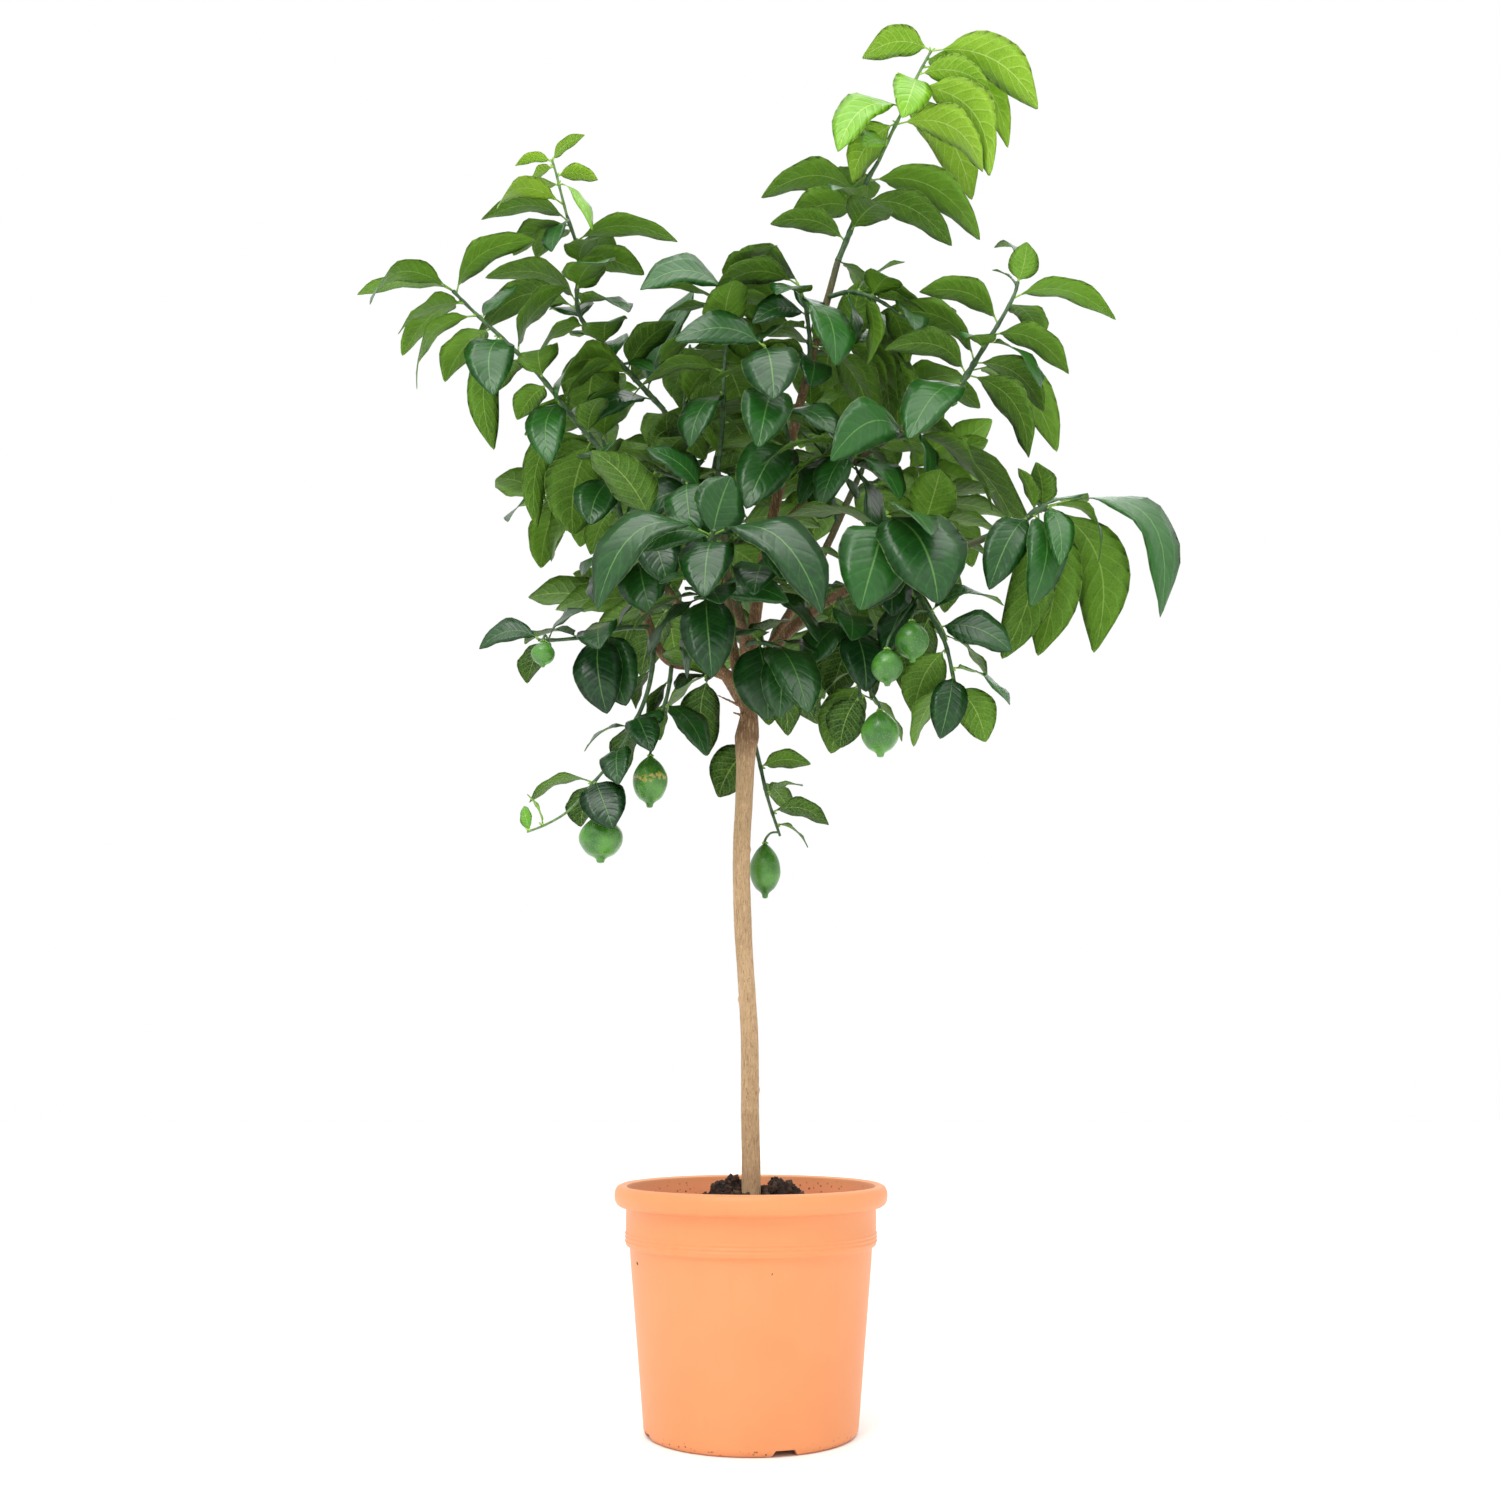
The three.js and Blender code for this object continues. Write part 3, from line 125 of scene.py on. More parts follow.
SHOOTS = (
    ShootPlan("shoot_leader", (3.2, 2.2), 3, 74, ((838, 261, 20), (856, 216, 12), (866, 183, 4), (878, 162, -2)), (
        (857, 197, 761, 198, 5, 40, 0.26, -15), (868, 184, 980, 240, 0, 44, 0.22, -18),
        (852, 208, 786, 226, 15, 42, 0.22, -12), (862, 205, 952, 246, 22, 40, 0.2, -15),
        (848, 240, 770, 224, -10, 30, 0.2, -15), (838, 258, 872, 318, 40, 46, 0.2, 20))),
    ShootPlan("shoot_leader_tip", (2, 1.2), 1, 60, ((878.5, 161.4, -2), (893, 130, -12), (903, 110, -20),
        (915, 81, -30), (931, 51, -40)), ((933, 54, 1038, 109, -30, 44, 0.17, -35),
        (928, 56, 862, 58, 0, 34, 0.2, -30), (915, 83, 902, 118, -45, 38, 0.12, 0),
        (920, 80, 990, 89, -22, 30, 0.16, -35), (926, 66, 960, 71, 25, 20, 0.1, -30),
        (924, 74, 1008, 148, 8, 34, 0.3, -35), (913, 88, 990, 176, 30, 50, 0.22, -30),
        (897, 124, 983, 172, -4, 40, 0.25, -25), (905, 108, 972, 200, 52, 46, 0.2, -25),
        (904, 108, 838, 152, -22, 44, 0.22, 40), (897, 122, 852, 182, 20, 40, 0.15, -30),
        (889, 140, 862, 146, -18, 24, 0.1, 40)), young=True),
    ShootPlan("shoot_right_top", (2.8, 1.3), 2, 72, ((959, 388, -20), (986, 344, -24), (1002, 318, -26),
        (1015, 293, -28), (1018, 282, -28)), ((1018, 284, 1027, 242, -4, 28, 0.05, 60),
        (1016, 290, 992, 270, 8, 16, 0.15, 20), (1017, 285, 994, 248, 30, 16, 0.15, 0),
        (1012, 300, 1116, 320, -5, 34, 0.2, -5), (998, 325, 919, 292, 10, 36, 0.22, -18),
        (993, 336, 1069, 374, 8, 36, 0.2, -15), (988, 342, 1040, 388, -35, 38, 0.15, 20),
        (962, 385, 908, 440, -40, 48, 0.15, 10), (966, 374, 884, 350, 12, 36, 0.25, -22),
        (974, 362, 880, 313, 36, 38, 0.22, -18), (974, 362, 1044, 412, -12, 36, 0.2, -15),
        (968, 374, 1029, 458, -4, 42, 0.2, -25), (970, 370, 1057, 452, 58, 42, 0.2, -15))),
    ShootPlan("shoot_right_spur", (2.6, 1.6), 2, 76, ((888, 438, -7), (905, 436, -34), (926, 428, -58)), (
        (926, 429, 993, 512, -50, 60, 0.15, 0), (910, 434, 830, 461, -30, 44, 0.2, 60),
        (924, 430, 1028, 556, 54, 48, 0.15, 0))),
    ShootPlan("shoot_right_inner", (2.6, 1.6), 5, 78, ((845, 470, 6), (852, 456, -50), (842, 446, -92)), (
        (846, 448, 800, 505, -34, 44, 0.15, 20), (848, 452, 900, 500, -20, 44, 0.16, 20))),
    ShootPlan("shoot_right_mid", (2.8, 2), 1, 78, ((1023, 522, -70), (1036, 511, -74), (1048, 506, -78)), (
        (1042, 508, 1036, 462, -18, 32, 0.1, 0), (1034, 512, 1018, 468, 10, 20, 0.1, 0),
        (1048, 506, 1160, 618, -45, 56, 0.36, 35), (1046, 507, 1098, 564, -18, 32, 0.34, 0),
        (1046, 507, 1060, 566, -42, 24, 0.12, 0), (1047, 506, 1094, 653, 52, 50, 0.25, 0),
        (1044, 508, 1038, 656, 50, 46, 0.15, 0), (1038, 510, 1002, 659, 28, 40, 0.15, 0),
        (1032, 514, 1030, 607, -26, 38, 0.2, 0), (1028, 518, 989, 590, -30, 36, 0.15, 0))),
    ShootPlan("shoot_left_main", (3.2, 1.4), 7, 76, ((623, 528, -5), (606, 460, -12), (570, 414, -18),
        (541, 377, -24), (503, 339, -30), (474, 312, -35), (453, 291, -40)), ((455, 294, 357, 295, 22, 30, 0.12, -3),
        (457, 295, 370, 305, -10, 34, 0.28, -5), (460, 298, 537, 240, 12, 36, 0.2, -20),
        (481, 318, 417, 390, -25, 36, 0.22, -10), (505, 341, 493, 396, -50, 44, 0.15, 0),
        (484, 321, 518, 285, 15, 24, 0.05, 40), (500, 337, 494, 450, 15, 30, 0.12, 0),
        (548, 384, 517, 420, 24, 30, 0.1, -20), (560, 402, 550, 465, -36, 36, 0.15, 0),
        (590, 438, 573, 535, 30, 56, 0.1, 0), (568, 413, 537, 529, 24, 26, 0.16, 0),
        (610, 476, 590, 525, -30, 40, 0.1, 0))),
    ShootPlan("shoot_left_back", (2.9, 1.6), 6, 74, ((664, 410, 60), (635, 379, 40), (603, 344, 20), (580, 316, 5),
        (578, 251, 2), (567, 216, -2)), ((582, 318, 478, 334, -20, 40, 0.3, -15),
        (580, 312, 485, 278, 16, 36, 0.22, -15), (580, 300, 604, 256, 20, 32, 0.1, -20),
        (658, 404, 581, 431, -35, 42, 0.2, 62), (622, 364, 655, 372, -24, 20, 0.1, 30),
        (603, 345, 589, 424, 45, 56, 0.12, 0), (636, 381, 556, 402, -52, 42, 0.24, -15),
        (571, 232, 481, 220, 8, 30, 0.2, -8), (578, 250, 678, 242, 0, 32, 0.18, -10),
        (572, 230, 552, 252, -38, 28, 0.1, 10), (650, 396, 694, 289, 6, 46, 0.06, 60))),
    ShootPlan("shoot_left_tip", (1.5, 1), 0, 40, ((566.8, 215.4, -2), (560, 189, -6), (556, 173, -8),
        (552, 160, -10)), ((553, 163, 585, 135, 5, 15, 0.12, -20), (553, 164, 515, 166, 0, 13, 0.2, -20),
        (554, 168, 529, 190, -16, 17, 0.12, -20), (557, 177, 598, 180, 6, 19, 0.15, -20),
        (559, 184, 592, 231, -20, 25, 0.15, -20), (559, 186, 521, 200, 6, 17, 0.15, -20),
        (564, 204, 497, 209, -24, 25, 0.2, -20)), young=True),
    ShootPlan("shoot_centre_left", (2.6, 1.4), 5, 72, ((718, 470, -30), (722, 430, -36), (724, 375, -40),
        (728, 320, -22), (730, 278, -4)), ((729, 284, 640, 290, -28, 44, 0.26, 62),
        (728, 306, 648, 289, 24, 28, 0.12, -12), (724, 382, 632, 397, -20, 36, 0.2, -15),
        (723, 400, 690, 448, -40, 38, 0.15, 10))),
    ShootPlan("shoot_centre_front", (2.9, 1.4), 3, 70, ((779, 490, 32), (790, 462, -10), (784, 420, -50),
        (770, 375, -72), (765, 348, -80)), ((766, 351, 774, 400, -46, 50, 0.12, 0),
        (772, 388, 758, 448, -50, 44, 0.14, 0), (782, 410, 834, 435, -42, 44, 0.16, 20),
        (788, 455, 746, 509, -52, 50, 0.15, 10), (766, 353, 674, 341, -12, 36, 0.18, 60))),
    ShootPlan("shoot_centre_top", (2.7, 1.4), 4, 72, ((806, 385, 32), (810, 350, 0), (806, 310, -22),
        (799, 286, -30)), ((804, 303, 835, 366, -52, 50, 0.15, 10), (806, 314, 752, 324, -18, 32, 0.2, 55),
        (799, 288, 704, 307, 0, 44, 0.24, -22), (800, 288, 727, 270, 36, 42, 0.2, -20),
        (809, 345, 877, 424, 8, 46, 0.15, 10))),
    ShootPlan("shoot_centre_right", (2.7, 1.4), 5, 74, ((828, 297, 23), (852, 292, -4), (878, 300, -18),
        (905, 318, -24)), ((858, 293, 905, 262, 40, 36, 0.1, 0), (880, 301, 926, 312, 20, 34, 0.1, 10))),
    ShootPlan("shoot_left_inner", (2.6, 1.6), 4, 74, ((722, 515, -18), (702, 492, -60), (682, 480, -92)), (
        (684, 481, 622, 535, -40, 46, 0.15, 50), (690, 485, 646, 448, -10, 40, 0.12, 40))),
    ShootPlan("shoot_front_big", (2.8, 2), 2, 76, ((716, 548, -150), (712, 540, -158), (714, 530, -166)), (
        (713, 534, 597, 611, -40, 52, 0.3, 20), (714, 532, 822, 614, -50, 58, 0.25, 10),
        (713, 540, 731, 476, 14, 46, 0.06, 60), (712, 540, 640, 552, -10, 30, 0.2, 55))),
    ShootPlan("shoot_front_low", (2.7, 1.8), 2, 70, ((734, 596, -104), (712, 596, -124), (695, 598, -138)), (
        (695, 598, 642, 674, -22, 52, 0.14, 10), (698, 598, 712, 678, -34, 44, 0.12, 0),
        (708, 596, 789, 602, -24, 30, 0.15, 50))),
    ShootPlan("shoot_front_right", (2.6, 1.8), 4, 66, ((745, 645, -50), (760, 642, -78), (786, 650, -96)), (
        (758, 642, 768, 720, -36, 54, 0.1, 0), (784, 650, 808, 714, -52, 42, 0.1, 0),
        (772, 645, 788, 736, 6, 36, 0.1, 0))),
    ShootPlan("shoot_right_front", (3, 1.8), 4, 82, ((868, 580, -66), (886, 545, -104), (884, 505, -130)), (
        (884, 503, 938, 604, -50, 72, 0.15, 0), (885, 515, 860, 611, -46, 60, 0.14, 0),
        (885, 540, 960, 560, 0, 40, 0.2, -20))),
    ShootPlan("shoot_right_low", (2.9, 1.4), 3, 62, ((900, 568, -72), (925, 606, -104), (944, 640, -112),
        (956, 690, -112)), ((940, 632, 1012, 652, -20, 40, 0.15, 55), (943, 640, 988, 682, -26, 42, 0.15, 10),
        (956, 688, 986, 742, 16, 34, 0.1, 0), (953, 678, 940, 739, -16, 30, 0.1, 0),
        (946, 652, 914, 716, -12, 36, 0.12, 0), (932, 616, 1004, 606, 30, 34, 0.2, 10))),
    ShootPlan("shoot_right_hang", (2.7, 1.4), 5, 64, ((838, 597, -56), (852, 630, -78), (858, 668, -84),
        (860, 700, -84)), ((852, 628, 866, 692, -26, 40, 0.1, 0), (860, 698, 840, 748, 14, 34, 0.1, 0),
        (860, 696, 902, 742, 18, 36, 0.12, 0), (856, 650, 916, 664, 34, 36, 0.2, 0),
        (848, 622, 806, 668, -10, 40, 0.15, 10))),
    ShootPlan("shoot_left_low", (2.6, 1.3), 4, 58, ((652, 627, -13), (622, 628, -36), (590, 636, -52),
        (556, 640, -62), (538, 640, -66)), ((538, 640, 479, 649, 0, 26, 0.22, 55),
        (546, 640, 584, 610, -22, 30, 0.14, 30), (600, 634, 607, 714, -18, 42, 0.1, 0),
        (610, 631, 626, 706, -34, 44, 0.1, 0), (622, 628, 638, 598, -20, 26, 0.1, 40))),
    ShootPlan("shoot_fork_low", (2.4, 1.6), 0, 50, ((714, 672, -10), (706, 680, -26)), (
        (707, 679, 707, 756, 16, 38, 0.1, 0), (708, 678, 676, 690, -26, 26, 0.15, 20))),
    ShootPlan("shoot_left_fruiting", (2.4, 1.5), 2, 50, ((672, 662, -17), (668, 692, -34), (662, 714, -40)), (
        (664, 708, 706, 756, -10, 34, 0.15, 10), (662, 712, 640, 744, -20, 30, 0.12, 0))),
    ShootPlan("shoot_left_hang", (2.6, 1.3), 5, 50, ((655, 634, -14), (648, 690, -44), (630, 732, -56),
        (609, 764, -60), (590, 787, -62)), ((630, 730, 584, 752, 4, 26, 0.18, 10),
        (636, 720, 652, 752, -26, 28, 0.1, 0), (594, 783, 613, 829, -26, 38, 0.1, 0),
        (592, 785, 581, 827, 12, 32, 0.1, 0), (592, 785, 529, 803, 4, 26, 0.2, -15))),
    ShootPlan("shoot_left_hang_tip", (1.3, 0.9), 0, 30, ((589.7, 787.4, -62), (567, 812, -66), (545, 825, -68),
        (527, 832, -68)), ((543, 826, 527, 794, -6, 20, 0.1, 20), (530, 831, 524, 806, 8, 12, 0.1, 20)), young=True),
    ShootPlan("shoot_trunk_hang", (2.4, 1.3), 0, 44, ((749, 724, 4), (757, 752, 18), (768, 799, 16),
        (780, 836, 12)), ((760, 766, 811, 764, -5, 24, 0.15, -15), (767, 792, 803, 786, -20, 26, 0.14, 20),
        (772, 812, 829, 825, 0, 26, 0.2, -20), (776, 824, 808, 848, -12, 24, 0.15, 10),
        (755, 746, 718, 797, 8, 38, 0.15, 0), (764, 782, 790, 812, 16, 24, 0.1, 0))))

BACK_SHOOTS = (
    ("back_right_high", (862, 470, 190), (915, 372, 210), 8),
    ("back_right_out", (850, 495, 176), (950, 470, 250), 8),
    ("back_right_low", (806, 585, 118), (900, 612, 200), 8),
    ("back_mid_high", (838, 524, 160), (806, 396, 230), 8),
    ("back_left_high", (622, 500, 200), (585, 402, 210), 8),
    ("back_left_out", (630, 515, 190), (545, 500, 200), 7),
    ("back_left_low", (684, 612, 116), (610, 610, 190), 7),
    ("back_left_far", (646, 548, 172), (668, 500, 290), 7),
    ("back_centre_high", (704, 515, 68), (735, 400, 170), 8),
    ("back_centre_far", (716, 560, 58), (750, 520, 210), 7),
    ("back_centre_low", (760, 676, 34), (765, 650, 170), 6),
    ("inner_right", (800, 507, 22), (850, 420, -40), 8),
    ("inner_left", (700, 500, 72), (655, 470, 0), 7),
    ("inner_right_low", (920, 562, -72), (925, 500, 20), 7),
    ("inner_high", (813, 354, 29), (890, 345, 70), 8),
    ("inner_left_high", (682, 455, 66), (690, 345, 80), 7),
    ("front_middle", (737, 604, -96), (795, 545, -150), 6),
    ("front_left", (636, 582, -8), (652, 520, -90), 7),
)

LEMONS = (
    LemonPlan("lemon_right_a", "shoot_right_low", (928, 612, -105), (912, 641, -140), (15, 17)),
    LemonPlan("lemon_right_b", "shoot_right_low", (918, 597, -95), (887, 667, -150), (14, 15)),
    LemonPlan("lemon_right_low", "shoot_right_hang", (859, 682, -84), (880, 733, -120), (17, 19)),
    LemonPlan("lemon_left_large", "shoot_left_fruiting", (662, 713, -40), (650, 781, -44), (16.5, 22), True),
    LemonPlan("lemon_left_low", "shoot_left_hang", (591, 786, -62), (601, 838, -60), (20, 20)),
    LemonPlan("lemon_left_small", "shoot_left_low", (548, 640, -64), (543, 654, -84), (11, 11)),
    LemonPlan("lemon_trunk", "shoot_trunk_hang", (779, 832, 12), (765, 870, 26), (15, 24)),
)

LEMON_OUTLINE = (
    (0, 1.1), (0.25, 1), (0.66, 0.7), (0.97, 0.22), (0.97, -0.22), (0.64, -0.72), (0.22, -0.98),
    (0.15, -1.14), (0, -1.16),
)


# ---- growing rules

@dataclass(frozen=True)
class FrontView:
    """The view that the places were read from: its distance and height in mm, its tilt and picture units."""

    distance: float = 1456
    eye: float = 323
    tilt: float = 0.201
    focal: float = 1529
    centre_u: float = 751
    centre_v: float = 750
    picture: float = 1500

    def place(self, row: Row) -> Point:
        """Works out a place of the tree.

        Args:
            row: picture units across and down, and the depth in mm behind the trunk.

        Returns:
            The place in mm in the solids' frame.
        """
        across = (row[0] - self.centre_u) / self.focal
        above = (self.centre_v - row[1]) / self.focal
        reach = (row[2] + self.distance) / (math.cos(self.tilt) - above * math.sin(self.tilt))
        rise = math.sin(self.tilt) + above * math.cos(self.tilt)
        return np.array((across * reach, row[2], self.eye + reach * rise), float)

    def line(self, rows: Sequence[Row]) -> list[Point]:
        """The places of a line."""
        return [self.place(row) for row in rows]


VIEW = FrontView()


def seeded_draws(seed: int) -> Iterator[float]:
    """Draws seeded numbers (mulberry32), the same that the solids' leaves were drawn from.

    Args:
        seed: where the series starts.

    Yields:
        The next number, from 0 to 1.
    """
    word, state = 0xFFFFFFFF, seed
    while True:
        state = (state + 0x6D2B79F5) & word
        mixed = ((state ^ (state >> 15)) * (1 | state)) & word
        mixed = ((mixed + (((mixed ^ (mixed >> 7)) * (61 | mixed)) & word)) & word) ^ mixed
        yield (mixed ^ (mixed >> 14)) / (word + 1)


def norm(vector: Point) -> float:
    """The length of a vector."""
    return float(np.linalg.norm(vector))


def unit(vector: Point) -> Point:
    """The vector at length 1."""
    return vector / np.linalg.norm(vector)


def nearest_on(points: Points, target: Point) -> Point:
    """Finds the place on a line that is nearest to a target.

    Args:
        points: the line.
        target: the target.

    Returns:
        The place.
    """
    found = []
    for start, end in zip(points, points[1:]):
        span = end - start
        found.append(start + span * min(1.0, max(0.0, float((target - start) @ span / (span @ span)))))
    return min(found, key=lambda point: norm(point - target))


def along(points: Points, fraction: float) -> tuple[Point, Point]:
    """Walks along a line.

    Args:
        points: the line.
        fraction: the share of its length to walk.

    Returns:
        The place there and the line's direction.
    """
    lengths = [norm(end - start) for start, end in zip(points, points[1:])]
    left, i = fraction * sum(lengths), 0
    while i < len(lengths) - 1 and left > lengths[i]:
        left -= lengths[i]
        i += 1
    heading = unit(points[i + 1] - points[i])
    return points[i] + heading * left, heading


@dataclass
class Leaf:
    """One leaf: its spine, curved from base to tip, and the side that it spreads to.

    may_roll: whether it may turn to the front. room: which taken-up places are its own.
    """

    base: Point
    middle: Point
    tip: Point
    side: Point
    length: float
    width: float
    may_roll: bool = False
    room: tuple[int, int] = (0, 0)

    OUTWARD = 0.35
    BEND = 0.42
    PETIOLE = 0.13
    FOLD = 0.16
    OUTLINE = (0.9, 0.8)

    @classmethod
    def spread(cls, base: Point, tip: Point, width: float, rise: float, turn: float) -> Leaf:
        """Shapes a leaf between two places.

        Args:
            base: where its stalk leaves the stem.
            tip: its tip.
            width: its width in mm.
            rise: its arch, as a share of its length.
            turn: degrees by which its top turns to the front.

        Returns:
            The leaf.
        """
        chord = tip - base
        length = norm(chord)
        chord = chord / length
        lift = UP + unit(np.array((base[0], base[1], 0.0))) * cls.OUTWARD
        lift = unit(lift - chord * (lift @ chord))
        middle = base * (1 - cls.BEND) + tip * cls.BEND + lift * (2 * rise * length)
        side = np.cross(chord, lift)
        angle = math.radians(turn) * (-1 if chord[0] < 0 else 1)
        side = (side * math.cos(angle) + np.cross(chord, side) * math.sin(angle)
                + chord * (chord @ side) * (1 - math.cos(angle)))
        return cls(base, middle, tip, side, length, width)

    def half_width(self, t: Numbers) -> Numbers:
        """Half the width of the blade in mm at shares t of the way from its foot to its tip."""
        return self.width / 2 * np.sin(np.pi * t ** self.OUTLINE[0]) ** self.OUTLINE[1]

    def points(self, t: Numbers, across: Numbers) -> Points:
        """Works out places on the blade.

        Args:
            t: shares of the way from its foot to its tip.
            across: shares of the way from the midrib to a margin, from -1 to 1.

        Returns:
            A place in mm for each pair.
        """
        s = (self.PETIOLE + (1 - self.PETIOLE) * t)[:, None]
        spine = self.base * (1 - s) ** 2 + self.middle * (2 * s * (1 - s)) + self.tip * s ** 2
        heading = (self.middle - self.base) * (1 - s) + (self.tip - self.middle) * s
        heading /= np.linalg.norm(heading, axis=1)[:, None]
        normal = np.cross(self.side, heading)
        normal /= np.linalg.norm(normal, axis=1)[:, None]
        half = (self.half_width(t) * across)[:, None]
        return spine + self.side * half + normal * (np.abs(half) * self.FOLD)


@dataclass
class Clearance:
    """What already stands in the crown, so that each new leaf is bent clear of it. Sizes in mm."""

    reach: float = 5.4
    cell: float = 16
    step: float = 5
    near_base: float = 15
    points: Points = field(default_factory=lambda: np.zeros((0, 3)))
    radii: Numbers = field(default_factory=lambda: np.zeros(0))

    def add(self, points: Points, radius: float = 0) -> tuple[int, int]:
        """Takes up places.

        Args:
            points: the places.
            radius: how much room each takes.

        Returns:
            The numbers of the first and the one after the last.
        """
        self.points = np.vstack((self.points, points))
        self.radii = np.append(self.radii, np.full(len(points), float(radius)))
        return len(self.radii) - len(points), len(self.radii)

    def spread(self, leaf: Leaf) -> Points:
        """Spreads places over a blade but for its foot, where leaves of one shoot stand close.

        Args:
            leaf: the leaf.

        Returns:
            The places.
        """
        rows = math.ceil(leaf.length / self.step)
        t, across = [], []
        for i in range(rows + 1):
            columns = math.ceil(float(leaf.half_width(np.float64(i / rows))) / self.step)
            t += [i / rows] * (2 * columns + 1)
            across += [k / columns if columns else 0.0 for k in range(-columns, columns + 1)]
        points = leaf.points(np.array(t), np.array(across))
        return points[np.linalg.norm(points - leaf.base, axis=1) >= self.near_base]

    def is_free(self, leaf: Leaf) -> bool:
        """Tests a leaf.

        Args:
            leaf: the leaf.

        Returns:
            Whether it is clear of all that stands.
        """
        points, reach = self.spread(leaf), 2 * self.cell
        near = np.all((self.points > points.min(0) - reach) & (self.points < points.max(0) + reach), axis=1)
        others, radii = self.points[near], self.radii[near]
        cells = np.floor(points / self.cell)[:, None] - np.floor(others / self.cell)[None]
        distance = np.linalg.norm(points[:, None] - others[None], axis=2)
        return not np.any(np.all(np.abs(cells) <= 1, axis=2) & (distance < self.reach + radii))


@dataclass(frozen=True)
class LeafRule:
    """The rule for leaves that the front view doesn't show: round the stem by the golden angle, drooping."""

    golden_angle: float = 2.39996
    bare: float = 0.16
    shortest: float = 0.8
    longer: float = 0.45
    narrow: float = 0.46
    wider: float = 0.1
    rise: float = 0.14
    forward: float = 0.5
    droop: float = 0.45
    more_droop: float = 0.08
    turn: float = 0.9
    shrink: float = 0.03
    tries: int = 9

    def grow(self, stem: Points, number: int, count: int, size: float, draw: Iterator[float],
             room: Clearance) -> Leaf | None:
        """Grows a leaf.

        Args:
            stem: the shoot's stem.
            number: which of the leaves this is.
            count: how many the rule adds to the shoot.
            size: their usual length in mm.
            draw: the seeded numbers.
            room: what stands already.

        Returns:
            The leaf, if a try was clear.
        """
        point, heading = along(stem, self.bare + (1 - self.bare) * (number + 0.5) / count)
        across = unit(np.cross(heading, UP))
        second = np.cross(heading, across)
        length = size * (self.shortest + self.longer * next(draw))
        wide = self.narrow + self.wider * next(draw)
        start = number * self.golden_angle + next(draw)
        for attempt in range(self.tries):
            angle = start + attempt * self.turn
            direction = (heading * self.forward + across * math.cos(angle) + second * math.sin(angle)
                         - UP * (self.droop + self.more_droop * attempt))
            tip = point + unit(direction) * (length * (1 - self.shrink * attempt))
            leaf = Leaf.spread(point, tip, length * wide, self.rise, 0)
            if room.is_free(leaf):
                return leaf
        return None


@dataclass
class GrownShoot:
    """A shoot with its leaves in place, in mm."""

    plan: ShootPlan
    points: list[Point]
    leaves: list[Leaf] = field(default_factory=list)


